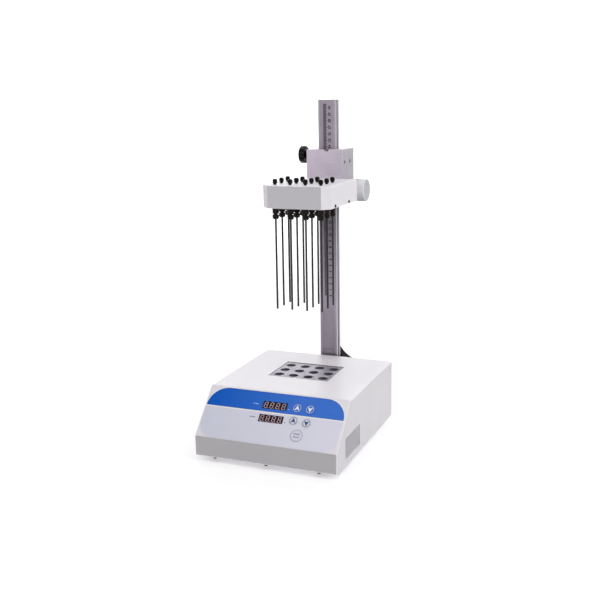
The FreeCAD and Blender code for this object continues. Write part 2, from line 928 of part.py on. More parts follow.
def mains_inlet():
    """A flanged mains inlet with its socket well and three flat pins."""
    middle = "case_floor + inlet_rise"
    flange = block(
        "inlet_flange_plate",
        ("inlet_x - inlet_width / 2 - inlet_flange_rim", "inlet_x + inlet_width / 2 + inlet_flange_rim"),
        ("case_rear", "case_rear + inlet_flange"),
        (f"{middle} - inlet_height / 2 - inlet_flange_rim / 2",
         f"{middle} + inlet_height / 2 + inlet_flange_rim / 2"),
    )
    body = block(
        "inlet_body",
        ("inlet_x - inlet_width / 2 + display_gap", "inlet_x + inlet_width / 2 - display_gap"),
        ("case_rear - inlet_depth", "case_rear + inlet_flange"),
        (f"{middle} - inlet_height / 2 + display_gap", f"{middle} + inlet_height / 2 - display_gap"),
    )
    well = block(
        "inlet_well",
        ("inlet_x - socket_width / 2", "inlet_x + socket_width / 2"),
        ("case_rear + inlet_flange - socket_depth", "case_rear + 2 * inlet_flange"),
        (f"{middle} - socket_height / 2", f"{middle} + socket_height / 2"),
    )
    shell = cut("inlet_shell", joined("inlet_solid", [flange, body]), [well])
    pins = []
    for i, (dx, dz) in enumerate(((-1, -0.25), (0, 0.25), (1, -0.25))):
        x = f"inlet_x + {dx} * socket_pin_pitch"
        z = f"{middle} + {dz} * socket_height / 2"
        pins.append(block(
            f"inlet_pin_{i}",
            (f"{x} - socket_pin_skin / 2", f"{x} + socket_pin_skin / 2"),
            ("case_rear + inlet_flange - socket_depth - skin", "case_rear"),
            (f"{z} - socket_pin_width / 2", f"{z} + socket_pin_width / 2"),
        ))
    return node("mains_inlet", joined("inlet", [shell, *pins]))


def power_switch():
    """The switch's frame in the rear panel, open in front for the rocker."""
    middle = "case_floor + inlet_rise"
    flange = block(
        "switch_frame",
        ("switch_x - switch_width / 2 - switch_rim", "switch_x + switch_width / 2 + switch_rim"),
        ("case_rear", "case_rear + switch_flange"),
        (f"{middle} - switch_tall / 2 - switch_rim", f"{middle} + switch_tall / 2 + switch_rim"),
    )
    body = block(
        "switch_body",
        ("switch_x - switch_width / 2 + display_gap", "switch_x + switch_width / 2 - display_gap"),
        ("case_rear - switch_depth", "case_rear"),
        (f"{middle} - switch_tall / 2 + display_gap", f"{middle} + switch_tall / 2 - display_gap"),
    )
    room = block(
        "switch_room",
        ("switch_x - switch_width / 2 + switch_rim", "switch_x + switch_width / 2 - switch_rim"),
        ("case_rear - switch_depth + switch_rim", "case_rear + 2 * switch_flange"),
        (f"{middle} - switch_tall / 2 + switch_rim", f"{middle} + switch_tall / 2 - switch_rim"),
    )
    return node("power_switch", cut("switch_open", joined("switch_solid", [flange, body]), [room]))


def power_rocker():
    """The rocker: a wedge-faced key that tips about a cross axis at the panel's plane."""
    half = "(switch_tall / 2 - switch_rim - rocker_gap)"
    middle = "case_floor + inlet_rise"
    face = "case_rear + switch_flange"
    body = padded("rocker_body", "YZ_Plane", [
        ("case_rear - rocker_sunk", f"{middle} - rocker_root"),
        (face, f"{middle} - {half} + rocker_edge"),
        (f"{face} + rocker_proud", f"{middle} - {half} + 2 * rocker_edge"),
        (f"{face} + rocker_waist", middle),
        (f"{face} + rocker_rest", f"{middle} + {half} - 2 * rocker_edge"),
        ("case_rear - rocker_sunk", f"{middle} + rocker_root"),
    ], "switch_width - 2 * switch_rim - 2 * rocker_gap", middle=True)
    put(body, ("switch_x", "0", "0"))
    return node("power_rocker", body)


# Post, scale, rack and foot


def post():
    """The aluminium profile: a sunk front face for the scale, a rear groove and two side slots."""
    bar = block("post_bar", ("-post_width / 2", "post_width / 2"), ("post_front", "post_rear"),
                ("case_floor + post_foot", "case_floor + post_top"))
    front = block("post_recess", ("-scale_recess_width / 2", "scale_recess_width / 2"),
                  ("post_front - skin", "post_front + scale_recess"),
                  ("case_floor", "case_floor + post_top + skin"))
    groove = block("post_groove", ("-groove_width / 2", "groove_width / 2"),
                   ("post_rear - groove_depth", "post_rear + skin"),
                   ("case_floor", "case_floor + post_top + skin"))
    slots = [
        block(f"post_slot_{side}",
              (f"{side} * post_width / 2 - side_slot_depth", f"{side} * post_width / 2 + side_slot_depth"),
              ("post_mid - side_slot_width / 2", "post_mid + side_slot_width / 2"),
              ("case_floor", "case_floor + post_top + skin"))
        for side in (-1, 1)
    ]
    holes = [
        rod(f"post_hole_{i}", "bracket_screw_radius", "post_depth",
            ("0", "post_rear - groove_depth - bracket_screw_radius", f"case_floor + {z}"), "y")
        for i, z in enumerate(("bracket_screw_low", "bracket_screw_high"))
    ]
    return node("post", cut("post_profile", bar, [front, groove, *slots, *holes]))


def scale_strip():
    """The ruler strip in the post's sunk front face."""
    strip = block("scale", ("-scale_width / 2", "scale_width / 2"),
                  ("post_front + scale_recess - scale_skin", "post_front + scale_recess"),
                  ("case_floor + scale_low", "case_floor + post_top"))
    return node("scale_strip", grouped("scale_set", [strip]))


def gear_feature(name, shape, at):
    """A toothed piece: its shape is set first and its placement after it."""
    feature = doc.addObject("Part::Feature", name)
    feature.Shape = shape
    return put(feature, at)


def rack():
    """A straight rack of full-depth teeth, laid out from the pinion's rest height both ways."""
    module = number("gear_module")
    pitch = math.pi * module
    slant = math.tan(math.radians(PRESSURE_ANGLE))
    half_tip = (pitch / 2 - number("gear_backlash")) / 2 - module * slant
    half_root = half_tip + TOOTH_DEPTH * module * slant
    tip, root = 0.0, -TOOTH_DEPTH * module
    back = -number("groove_depth")
    rest = number("axis_z - case_floor")
    low, high = number("rack_low"), number("rack_high")
    first = math.ceil((low + half_root - rest) / pitch - 0.5)
    last = math.floor((high - half_root - rest) / pitch - 0.5)
    outline = [Vector(0, back, low), Vector(0, root, low)]
    for tooth in range(first, last + 1):
        middle = rest + (tooth + 0.5) * pitch
        outline += [
            Vector(0, root, middle - half_root),
            Vector(0, tip, middle - half_tip),
            Vector(0, tip, middle + half_tip),
            Vector(0, root, middle + half_root),
        ]
    outline += [Vector(0, root, high), Vector(0, back, high)]
    wire = Part.makePolygon(outline + outline[:1])
    bar = Part.Face(wire).extrude(Vector(number("rack_width"), 0, 0))
    return node("rack", gear_feature("rack_bar", bar, ("-rack_width / 2", "post_rear", "case_floor")))


def involute(base, radius):
    """Angle by which an involute of this base circle has turned where it reaches the radius."""
    roll = math.sqrt(max(radius * radius / (base * base) - 1, 0))
    return roll - math.atan(roll)


def pinion_face():
    """The outline of one side of the pinion, a tooth pointing along -Y, in the XZ frame of its axis."""
    module = number("gear_module")
    pitch = number("pitch_radius")
    base = pitch * math.cos(math.radians(PRESSURE_ANGLE))
    tip, root = pitch + module, pitch - TOOTH_ROOT * module
    half = (math.pi * module / 2 - number("gear_backlash")) / (2 * pitch) + involute(base, pitch)
    radii = [base + (tip - base) * (i / FLANK_STEPS) for i in range(FLANK_STEPS + 1)]
    edges = []
    step = 2 * math.pi / PINION_TEETH

    def at(radius, angle):
        return Vector(0, -radius * math.cos(angle), radius * math.sin(angle))

    for tooth in range(PINION_TEETH):
        middle = tooth * step
        rising = [at(r, middle - half + involute(base, r)) for r in radii]
        falling = [at(r, middle + half - involute(base, r)) for r in reversed(radii)]
        foot_in, foot_out = at(root, middle - half), at(root, middle + half)
        next_foot = at(root, middle + step - half)
        up, down = Part.BSplineCurve(), Part.BSplineCurve()
        up.interpolate(rising)
        down.interpolate(falling)
        edges += [
            Part.LineSegment(foot_in, rising[0]).toShape(),
            up.toShape(),
            Part.Arc(rising[-1], at(tip, middle), falling[0]).toShape(),
            down.toShape(),
            Part.LineSegment(falling[-1], foot_out).toShape(),
            Part.Arc(foot_out, at(root, middle + step / 2), next_foot).toShape(),
        ]
    return Part.Face(Part.Wire(edges))


def pinion():
    """A twenty-tooth pinion, bored for its shaft."""
    width = number("pinion_width")
    gear = pinion_face().extrude(Vector(width, 0, 0))
    bore = Part.makeCylinder(number("shaft_radius"), 3 * width, Vector(-width, 0, 0), X)
    return node("pinion", gear_feature("pinion_gear", gear.cut(bore),
                                       ("-pinion_width / 2", "axis_y", "axis_z")))


def post_bracket():
    """The black cast foot behind the case: a seat under the post and a flared rear leg."""
    half = number("bracket_shoulder_half")
    low = number("case_floor + post_foot - bracket_base")
    shoulder = number("case_floor + bracket_shoulder")
    top = number("case_floor + bracket_top")
    top_half = number("bracket_top_half")
    mid_half, mid = number("bracket_mid_half"), number("case_floor + bracket_mid")
    front, rear = number("post_rear + bracket_gap"), number("post_rear + bracket_depth")

    def flared(y, inset):
        spots = [
            Vector(-half + inset, y, shoulder - inset), Vector(-half + inset, y, low + inset),
            Vector(half - inset, y, low + inset), Vector(half - inset, y, shoulder - inset),
            Vector(top_half - inset / 2, y, top - inset), Vector(-top_half + inset / 2, y, top - inset),
        ]
        right = Vector(mid_half - inset / 2, y, mid - inset)
        left = Vector(-mid_half + inset / 2, y, mid - inset)
        return Part.Wire([
            Part.LineSegment(spots[0], spots[1]).toShape(),
            Part.LineSegment(spots[1], spots[2]).toShape(),
            Part.LineSegment(spots[2], spots[3]).toShape(),
            Part.Arc(spots[3], right, spots[4]).toShape(),
            Part.LineSegment(spots[4], spots[5]).toShape(),
            Part.Arc(spots[5], left, spots[0]).toShape(),
        ])

    leg = Part.Face(flared(front, 0.0)).extrude(Vector(0, rear - front, 0))
    web = number("bracket_web")
    relief = Part.Face(flared(front + web, number("bracket_wall"))).extrude(Vector(0, rear - front, 0))
    flare = doc.addObject("Part::Feature", "bracket_flare")
    flare.Shape = leg.cut(relief)
    seat = block("bracket_seat", ("-bracket_shoulder_half", "bracket_shoulder_half"),
                 ("case_rear", "post_rear + bracket_depth"),
                 ("case_floor + post_foot - bracket_base", "case_floor + post_foot"))
    front_leg = block("bracket_front_leg", ("-bracket_shoulder_half", "bracket_shoulder_half"),
                      ("case_rear", "post_front - bracket_gap"),
                      ("case_floor + post_foot - bracket_base", "case_floor + post_foot + bracket_leg"))
    solid = joined("bracket_solid", [flare, seat, front_leg])
    holes = [
        rod(f"bracket_hole_{i}", "bracket_screw_radius", "2 * bracket_web",
            ("0", "post_rear - bracket_gap", f"case_floor + {z}"), "y")
        for i, z in enumerate(("bracket_screw_low", "bracket_screw_high"))
    ]
    return node("post_bracket", cut("bracket_bored", solid, holes))


def bracket_screws():
    """Two cap screws from the back through the bracket's web into the post."""
    screws = []
    for i, z in enumerate(("bracket_screw_low", "bracket_screw_high")):
        screws.append(turned(f"bracket_screw_{i}", [
            ("0", "-groove_depth - bracket_screw_radius"),
            ("bracket_screw_radius", "-groove_depth - bracket_screw_radius"),
            ("bracket_screw_radius", "bracket_gap + bracket_web"),
            ("bracket_screw_head", "bracket_gap + bracket_web"),
            ("bracket_screw_head", "bracket_gap + bracket_web + bracket_screw_head_height"),
            ("0", "bracket_gap + bracket_web + bracket_screw_head_height"),
        ], ("0", "post_rear", f"case_floor + {z}"), "y"))
    return node("bracket_screws", grouped("bracket_screw_set", screws))


# Carriage


def carriage_body():
    """The block that rides on the post, with room for the pads, the pinion and the screws."""
    half_w = "carriage_width / 2"
    bar = block("carriage_bar", (f"-{half_w}", half_w), ("carriage_front", "cover_front"),
                ("arm_floor", "arm_top"))
    half_x = "post_width / 2 + pad_skin + pad_gap"
    way = block("carriage_way", (f"-({half_x})", half_x),
                ("post_front - pad_skin - pad_gap", "post_rear + pad_skin + pad_gap"),
                ("arm_floor - skin", "arm_top + skin"))
    gears = block("carriage_gear_room", ("-gear_room_width / 2", "gear_room_width / 2"),
                  ("post_mid", "cover_front + skin"), ("axis_z - gear_room", "axis_z + gear_room"))
    shaft = rod("carriage_shaft_hole", "shaft_radius + bush_wall", "2 * carriage_width",
                ("-carriage_width", "axis_y", "axis_z"), "x")
    stud = rod("carriage_stud_hole", "stud_radius + stud_gap", "carriage_width / 2",
               ("-carriage_width / 2 - skin", "post_mid", "arm_floor + lock_rise"), "x")
    notch = rod("carriage_notch", "notch_radius", "carriage_front_wall + skin",
                ("notch_x", "carriage_front - skin", "arm_top"), "y")
    adjusters = [
        rod(f"carriage_adjuster_{i}", "adjuster_radius", "adjuster_length + adjuster_sunk + skin",
            ("carriage_width / 2 - adjuster_length - adjuster_sunk", f"carriage_front + {y}",
             "arm_floor + adjuster_rise"), "x")
        for i, y in enumerate(("adjuster_front", "adjuster_back"))
    ]
    screws = [
        rod(f"carriage_screw_hole_{i}", "cover_screw_radius", "cover_screw_length",
            (x, "cover_front - cover_screw_length + carriage_cover_skin", z), "y")
        for i, (x, z) in enumerate(COVER_SCREWS)
    ]
    arm = [
        rod(f"carriage_arm_hole_{i}", "arm_screw_radius", "arm_screw_grip + skin",
            (x, "carriage_front - skin", z), "y")
        for i, (x, z) in enumerate(ARM_SCREWS)
    ]
    return node("carriage_body", cut(
        "carriage_machined", bar, [way, gears, shaft, stud, notch, *adjusters, *screws, *arm]
    ))


COVER_SCREWS = [
    (f"{sx} * (carriage_width / 2 - cover_screw_in)", z)
    for sx in (-1, 1)
    for z in ("arm_floor + cover_screw_in", "arm_top - cover_screw_in")
]
ARM_SCREWS = [
    (f"{sx} * arm_screw_spread", f"arm_floor + {rise}")
    for sx in (-1, 1)
    for rise in ("arm_screw_rise_low", "arm_screw_rise_high")
]


def carriage_cover():
    """The plate that closes the pinion's room at the back."""
    plate = block("carriage_plate", ("-carriage_width / 2", "carriage_width / 2"),
                  ("cover_front", "carriage_rear"), ("arm_floor", "arm_top"))
    holes = [
        rod(f"cover_plate_hole_{i}", "cover_screw_radius", "3 * carriage_cover_skin",
            (x, "cover_front - skin", z), "y")
        for i, (x, z) in enumerate(COVER_SCREWS)
    ]
    sinks = [
        rod(f"cover_plate_sink_{i}", "cover_screw_head", "2 * cover_screw_head_height",
            (x, "carriage_rear - cover_screw_head_height", z), "y")
        for i, (x, z) in enumerate(COVER_SCREWS)
    ]
    return node("carriage_cover", cut("carriage_plate_bored", plate, [*holes, *sinks]))


def cover_screws():
    """Four screws with sunk heads that hold the carriage's rear plate."""
    shank = "cover_screw_length - carriage_cover_skin"
    screws = []
    for i, (x, z) in enumerate(COVER_SCREWS):
        screws.append(turned(f"cover_screw_{i}", [
            ("0", f"-({shank})"),
            ("cover_screw_radius", f"-({shank})"),
            ("cover_screw_radius", "carriage_cover_skin - cover_screw_head_height"),
            ("cover_screw_head", "carriage_cover_skin - cover_screw_head_height"),
            ("cover_screw_head", "carriage_cover_skin"),
            ("0", "carriage_cover_skin"),
        ], (x, "cover_front", z), "y"))
    return screws


def adjuster_screws():
    """Two grub screws in the carriage's right side that set the play of the pads."""
    screws = []
    for i, y in enumerate(("adjuster_front", "adjuster_back")):
        screws.append(rod(
            f"adjuster_{i}", "adjuster_radius", "adjuster_length",
            ("carriage_width / 2 - adjuster_length - adjuster_sunk", f"carriage_front + {y}",
             "arm_floor + adjuster_rise"), "x",
        ))
    return screws


def guide_pads():
    """Plastic strips between the carriage and the post: one on each side, two in front, two behind."""
    pads = []
    inner, outer = "post_width / 2 + pad_gap", "post_width / 2 + pad_gap + pad_skin"
    stud = rod("pad_stud_hole", "stud_radius + pad_gap", "carriage_width",
               ("-carriage_width", "post_mid", "arm_floor + lock_rise"), "x")
    for side in (-1, 1):
        x = (inner, outer) if side > 0 else (f"-({outer})", f"-({inner})")
        pad = block(f"side_pad_{side}", x,
                    ("post_mid - pad_side_strip / 2", "post_mid + pad_side_strip / 2"),
                    ("arm_floor", "arm_top"))
        pads.append(cut("side_pad_bored", pad, [stud]) if side < 0 else pad)
        edge = "post_width / 2 - pad_gap"
        strip = (f"{edge} - pad_strip", edge) if side > 0 else (f"-({edge})", f"-({edge}) + pad_strip")
        pads.append(block(f"front_pad_{side}", strip,
                          ("post_front - pad_gap - pad_skin", "post_front - pad_gap"),
                          ("arm_floor", "arm_top")))
        pads.append(block(f"rear_pad_{side}", strip,
                          ("post_rear + pad_gap", "post_rear + pad_gap + pad_skin"),
                          ("arm_floor", "arm_top")))
    return node("guide_pads", grouped("pad_set", pads))


# Lift drive and lock


def shaft_bushes():
    """Two bronze bushes in the carriage's side walls."""
    bushes = []
    for side in (-1, 1):
        start = "gear_room_width / 2" if side > 0 else "-carriage_width / 2"
        length = "carriage_width / 2 - gear_room_width / 2"
        sleeve = rod(f"sleeve_{side}", "shaft_radius + bush_wall", length, (start, "axis_y", "axis_z"), "x")
        bore = rod(f"sleeve_bore_{side}", "shaft_radius + shaft_gap", f"{length} + 2 * skin",
                   (f"{start} - skin", "axis_y", "axis_z"), "x")
        bushes.append(cut(f"bush_{side}", sleeve, [bore]))
    return node("shaft_bushes", grouped("bush_pair", bushes))


def pinion_shaft():
    length = "shaft_left + carriage_width / 2 + lift_knob_gap + shaft_in_knob"
    shaft = rod("lift_shaft", "shaft_radius", length, ("-shaft_left", "axis_y", "axis_z"), "x")
    return node("pinion_shaft", grouped("lift_shaft_set", [shaft]))


def lift_knob():
    """The large turned knob on the right, with a notched grip at its inner end."""
    blank = turned("lift_knob_blank", [
        ("shaft_radius", "0"),
        ("lift_knob_radius - lift_knob_edge", "0"),
        ("lift_knob_radius", "lift_knob_edge"),
        ("lift_knob_radius", "lift_knob_length - lift_knob_edge"),
        ("lift_knob_radius - lift_knob_edge", "lift_knob_length"),
        ("0", "lift_knob_length"),
        ("0", "shaft_in_knob"),
        ("shaft_radius", "shaft_in_knob"),
    ], ("carriage_width / 2 + lift_knob_gap", "axis_y", "axis_z"), "x")
    notches = []
    for i in range(GRIP_NOTCHES):
        angle = 360 / GRIP_NOTCHES * i
        notch = doc.addObject("Part::Box", f"grip_notch_{i}")
        notch.setExpression("Length", formula("lift_knob_grip"))
        notch.setExpression("Width", formula("grip_notch"))
        notch.setExpression("Height", formula("2 * grip_notch_depth"))
        notch.Placement = Placement(Vector(), Rotation(X, angle))
        inner = "(lift_knob_radius - grip_notch_depth)"
        put_y = f"axis_y - grip_notch / 2 * cos({angle}) - {inner} * sin({angle})"
        put_z = f"axis_z - grip_notch / 2 * sin({angle}) + {inner} * cos({angle})"
        notch.setExpression("Placement.Base.x", formula(
            "carriage_width / 2 + lift_knob_gap + lift_knob_edge + skin"))
        notch.setExpression("Placement.Base.y", formula(put_y))
        notch.setExpression("Placement.Base.z", formula(put_z))
        notches.append(notch)
    return node("lift_knob", cut("lift_knob_cut", blank, notches))


def lock_knob():
    """The lobed clamping knob on the left, its hub towards the carriage."""
    here = ("-lock_reach", "post_mid", "arm_floor + lock_rise")
    core = rod("lock_core", "lock_radius - lock_lobe", "lock_head", here, "x")
    lobes = []
    for i in range(LOCK_LOBES):
        angle = 360 / LOCK_LOBES * i
        ring = "(lock_radius - lock_lobe)"
        lobes.append(rod(
            f"lock_lobe_{i}", "lock_lobe", "lock_head",
            ("-lock_reach", f"post_mid + {ring} * cos({angle})",
             f"arm_floor + lock_rise + {ring} * sin({angle})"), "x",
        ))
    dome = turned("lock_dome", [
        ("0", "0"),
        ("lock_radius", "0"),
        ("lock_radius", "lock_head"),
        ("0", "lock_head"),
    ], here, "x")
    half = number("lock_head / 2")
    rounded(dome, "lock_outer_edge", "lock_round", lambda e: is_rim(e) and e.CenterOfMass.z < half)
    rounded(dome, "lock_inner_edge", "lock_heel", lambda e: is_rim(e) and e.CenterOfMass.z > half)
    grip = doc.addObject("Part::MultiCommon", "lock_moulding")
    grip.Shapes = [joined("lock_prism", [core, *lobes]), dome]
    hub_length = "lock_reach - lock_head - carriage_width / 2 - lock_hub_gap"
    hub = rod("lock_hub", "lock_hub_radius", hub_length,
              ("-lock_reach + lock_head", "post_mid", "arm_floor + lock_rise"), "x")
    bore = rod("lock_bore", "stud_radius", "2 * lock_head",
               ("-lock_reach + lock_head - lock_bore_depth", "post_mid", "arm_floor + lock_rise"), "x")
    return node("lock_knob", cut("lock_grip", joined("lock_solid", [grip, hub]), [bore]))


def lock_stud():
    start = "(-lock_reach + lock_head - lock_bore_depth)"
    stud = rod("stud", "stud_radius", f"-post_width / 2 - stud_tip_gap - {start}",
               (start, "post_mid", "arm_floor + lock_rise"), "x")
    return node("lock_stud", grouped("stud_set", [stud]))


# Gas chamber


def chamber_outline(inset):
    """The chamber seen from above, its front corners cut at 45 degrees, drawn in by an inset."""
    half, corner = "chamber_width / 2", "chamber_corner"
    slack = f"({inset}) * (sqrt(2) - 1)"
    return [
        (f"-({half}) + {inset}", f"chamber_front + {corner} + {slack}"),
        (f"-({half}) + {corner} + {slack}", f"chamber_front + {inset}"),
        (f"{half} - {corner} - {slack}", f"chamber_front + {inset}"),
        (f"{half} - ({inset})", f"chamber_front + {corner} + {slack}"),
        (f"{half} - ({inset})", f"carriage_front - ({inset})"),
        (f"-({half}) + {inset}", f"carriage_front - ({inset})"),
    ]


def chamber_cover():
    """The white housing: open below, with holes for the valves, the inlet and its screws."""
    outside = padded("chamber_outside", "XY_Plane", chamber_outline("0"), "chamber_height")
    top = number("chamber_height")
    rear = number("carriage_front")
    rounded(outside, "chamber_top_edge", "chamber_edge", lambda e: (
        abs(e.CenterOfMass.z - top) < 1e-3 and e.CenterOfMass.y < rear - 1e-3
    ))
    put(outside, ("0", "0", "arm_floor"))
    inside = padded("chamber_inside", "XY_Plane", chamber_outline("chamber_skin"), "chamber_height")
    put(inside, ("0", "0", "arm_floor - chamber_skin"))
    valves = [
        rod(f"valve_hole_{i}", "valve_stem_radius + 4 * valve_stem_gap", "4 * chamber_skin",
            (x, y, "chamber_top - 2 * chamber_skin"))
        for i, (x, y) in enumerate(GRID)
    ]
    side = [
        rod(f"cover_side_hole_{i}", "chamber_screw_radius", "2 * chamber_width",
            ("-chamber_width", y, SCREW_LINE), "x")
        for i, y in enumerate(CHAMBER_SCREWS)
    ]
    arm = [
        rod(f"cover_arm_hole_{i}", "arm_screw_radius", "4 * chamber_skin",
            (x, "carriage_front - 2 * chamber_skin", z), "y")
        for i, (x, z) in enumerate(ARM_SCREWS)
    ]
    inlet = rod("cover_inlet_hole", "gas_inlet_radius", "4 * chamber_skin",
                ("gas_inlet_x", "carriage_front - 2 * chamber_skin", "arm_floor + gas_inlet_rise"), "y")
    hollow = cut("chamber_hollow", outside, [inside])
    return node("chamber_cover", cut("chamber_bored", hollow, [*valves, *side, *arm, inlet]))


SCREW_LINE = "arm_floor + chamber_floor_skin / 2"
CHAMBER_SCREWS = ["chamber_front + chamber_screw_front", "chamber_front + chamber_screw_back"]


def chamber_floor():
    """The plate inside the housing's lower edge that carries the fittings."""
    plate = padded("floor_blank", "XY_Plane", chamber_outline("chamber_skin + chamber_floor_gap"),
                   "chamber_floor_skin")
    put(plate, ("0", "0", "arm_floor"))
    ports = [
        rod(f"floor_port_{i}", "fitting_stub_radius + fitting_gap", "3 * chamber_floor_skin",
            (x, y, "arm_floor - chamber_floor_skin"))
        for i, (x, y) in enumerate(GRID)
    ]
    reach = "chamber_width / 2 - chamber_screw_length"
    screws = []
    for side in (-1, 1):
        for i, y in enumerate(CHAMBER_SCREWS):
            x = reach if side > 0 else "-chamber_width / 2 - skin"
            screws.append(rod(f"floor_screw_hole_{side}_{i}", "chamber_screw_radius",
                              "chamber_screw_length + skin", (x, y, SCREW_LINE), "x"))
    return node("chamber_floor", cut("floor_bored", plate, [*ports, *screws]))


def chamber_screws():
    """Two black screws on each side of the housing, into the edge of its floor."""
    screws = []
    for side, along in ((-1, "-x"), (1, "x")):
        for i, y in enumerate(CHAMBER_SCREWS):
            screws.append(turned(f"chamber_screw_{side}_{i}", [
                ("0", "-chamber_screw_length"),
                ("chamber_screw_radius", "-chamber_screw_length"),
                ("chamber_screw_radius", "0"),
                ("chamber_screw_head", "0"),
                ("chamber_screw_head", "chamber_screw_proud / 2"),
                ("chamber_screw_crown", "chamber_screw_proud"),
                ("0", "chamber_screw_proud"),
            ], (f"{side} * chamber_width / 2", y, SCREW_LINE), along))
    return node("chamber_screws", grouped("chamber_screw_set", screws))


def manifold_span(name, z, margin="0"):
    return block(
        name,
        (f"-manifold_length / 2 + {margin}", f"manifold_length / 2 - {margin}"),
        (f"block_mid - manifold_depth / 2 + {margin}", f"block_mid + manifold_depth / 2 - {margin}"),
        z,
    )


def manifold_gasket():
    sheet_rubber = manifold_span("gasket_blank", ("arm_floor + chamber_floor_skin", "manifold_foot"))
    ports = [
        rod(f"gasket_port_{i}", "port_radius * 2", "3 * gasket_skin",
            (x, y, "arm_floor + chamber_floor_skin - gasket_skin"))
        for i, (x, y) in enumerate(GRID)
    ]
    return node("manifold_gasket", cut("gasket_bored", sheet_rubber, ports))


def gas_manifold():
    """The aluminium gas block: one channel for each row, a feed channel and twelve valve bores."""
    blank = manifold_span("manifold_blank", ("manifold_foot", "manifold_top"))
    middle = "manifold_foot + manifold_height / 2"
    tools = []
    for row in range(WELL_ROWS):
        y = f"block_mid + ({row} - {(WELL_ROWS - 1) / 2}) * well_pitch_y"
        tools.append(rod(f"row_channel_{row}", "manifold_channel", "manifold_length - 2 * manifold_wall",
                         ("-manifold_length / 2 + manifold_wall", y, middle), "x"))
    tools.append(rod("feed_channel", "manifold_channel", "manifold_depth", (
        "gas_inlet_x + 2 * manifold_channel",
        "block_mid - manifold_depth / 2 + manifold_wall",
        middle,
    ), "y"))
    for i, (x, y) in enumerate(GRID):
        tools.append(rod(f"valve_bore_{i}", "valve_stem_radius + valve_stem_gap",
                         "manifold_height", (x, y, middle)))
        tools.append(rod(f"port_bore_{i}", "port_radius", "manifold_height",
                         (x, y, "manifold_foot - manifold_height / 2")))
    return node("gas_manifold", cut("manifold_bored", blank, tools))


def arm_screws():
    """Four screws from inside the housing into the carriage's front wall."""
    screws = []
    for i, (x, z) in enumerate(ARM_SCREWS):
        screws.append(turned(f"arm_screw_{i}", [
            ("0", "-arm_screw_head_height"),
            ("arm_screw_head", "-arm_screw_head_height"),
            ("arm_screw_head", "0"),
            ("arm_screw_radius", "0"),
            ("arm_screw_radius", "chamber_skin + arm_screw_grip - skin"),
            ("0", "chamber_skin + arm_screw_grip - skin"),
        ], (x, "carriage_front - chamber_skin", z), "y"))
    return screws


def carriage_screws():
    """Every screw of the carriage: its rear plate's, the pad adjusters and the housing's."""
    return node("carriage_screws", grouped(
        "carriage_screw_set", [*cover_screws(), *adjuster_screws(), *arm_screws()]
    ))


def gas_inlet():
    """The hose barb behind the housing, to the left of the carriage."""
    ridge = "gas_inlet_radius + gas_inlet_ridge"
    start, end = "gas_inlet_hex_length", "gas_inlet_reach"
    corners = [
        ("gas_inlet_bore", "-gas_inlet_seat"),
        ("gas_inlet_radius", "-gas_inlet_seat"),
        ("gas_inlet_radius", "0"),
        ("gas_inlet_hex", "0"),
        ("gas_inlet_hex", start),
    ]
    for i in range(BARB_RIDGES):
        foot = f"{start} + ({end} - {start}) * {i} / {BARB_RIDGES}"
        corners += [("gas_inlet_root", foot), (ridge, f"{foot} + gas_inlet_ramp")]
    corners += [("gas_inlet_root", end), ("gas_inlet_bore", end)]
    barb = turned("barb", corners, ("gas_inlet_x", "carriage_front", "arm_floor + gas_inlet_rise"), "y")
    return node("gas_inlet", barb)


# Needles and valves


def needle_fittings():
    """Twelve black fittings under the housing: a stub in the floor, a head and a threaded neck."""
    fittings = []
    for i, (x, y) in enumerate(GRID):
        fittings.append(turned(f"fitting_{i}", [
            ("port_radius", "fitting_stub"),
            ("fitting_stub_radius", "fitting_stub"),
            ("fitting_stub_radius", "0"),
            ("fitting_radius", "0"),
            ("fitting_radius", "-fitting_head"),
            ("fitting_neck_radius", "-fitting_head"),
            ("fitting_neck_radius", "-fitting_head - fitting_neck"),
            ("port_radius", "-fitting_head - fitting_neck"),
        ], (x, y, "arm_floor")))
    return node("needle_fittings", grouped("fitting_set", fittings))


def needle_nuts():
    """Twelve clamp nuts that grip the needles, each tapered at its lower end."""
    nuts = []
    neck_end = "-fitting_head - fitting_neck - fitting_gap"
    for i, (x, y) in enumerate(GRID):
        nuts.append(turned(f"nut_{i}", [
            ("fitting_neck_radius + fitting_gap", "-nut_drop + nut_height"),
            ("nut_radius", "-nut_drop + nut_height"),
            ("nut_radius", "-nut_drop + nut_tip"),
            ("nut_tip_radius", "-nut_drop"),
            ("port_radius", "-nut_drop"),
            ("port_radius", neck_end),
            ("fitting_neck_radius + fitting_gap", neck_end),
        ], (x, y, "arm_floor")))
    return node("needle_nuts", grouped("nut_set", nuts))


def needles():
    """Twelve stainless needles, open from end to end."""
    tubes = []
    for i, (x, y) in enumerate(GRID):
        foot = "arm_floor - needle_seat - needle_length"
        tubes.append(cut(
            f"needle_{i}",
            rod(f"needle_wall_{i}", "needle_radius", "needle_length", (x, y, foot)),
            [rod(f"needle_bore_{i}", "needle_bore", "needle_length + 2 * skin", (x, y, f"{foot} - skin"))],
        ))
    return node("needles", grouped("needle_set", tubes))


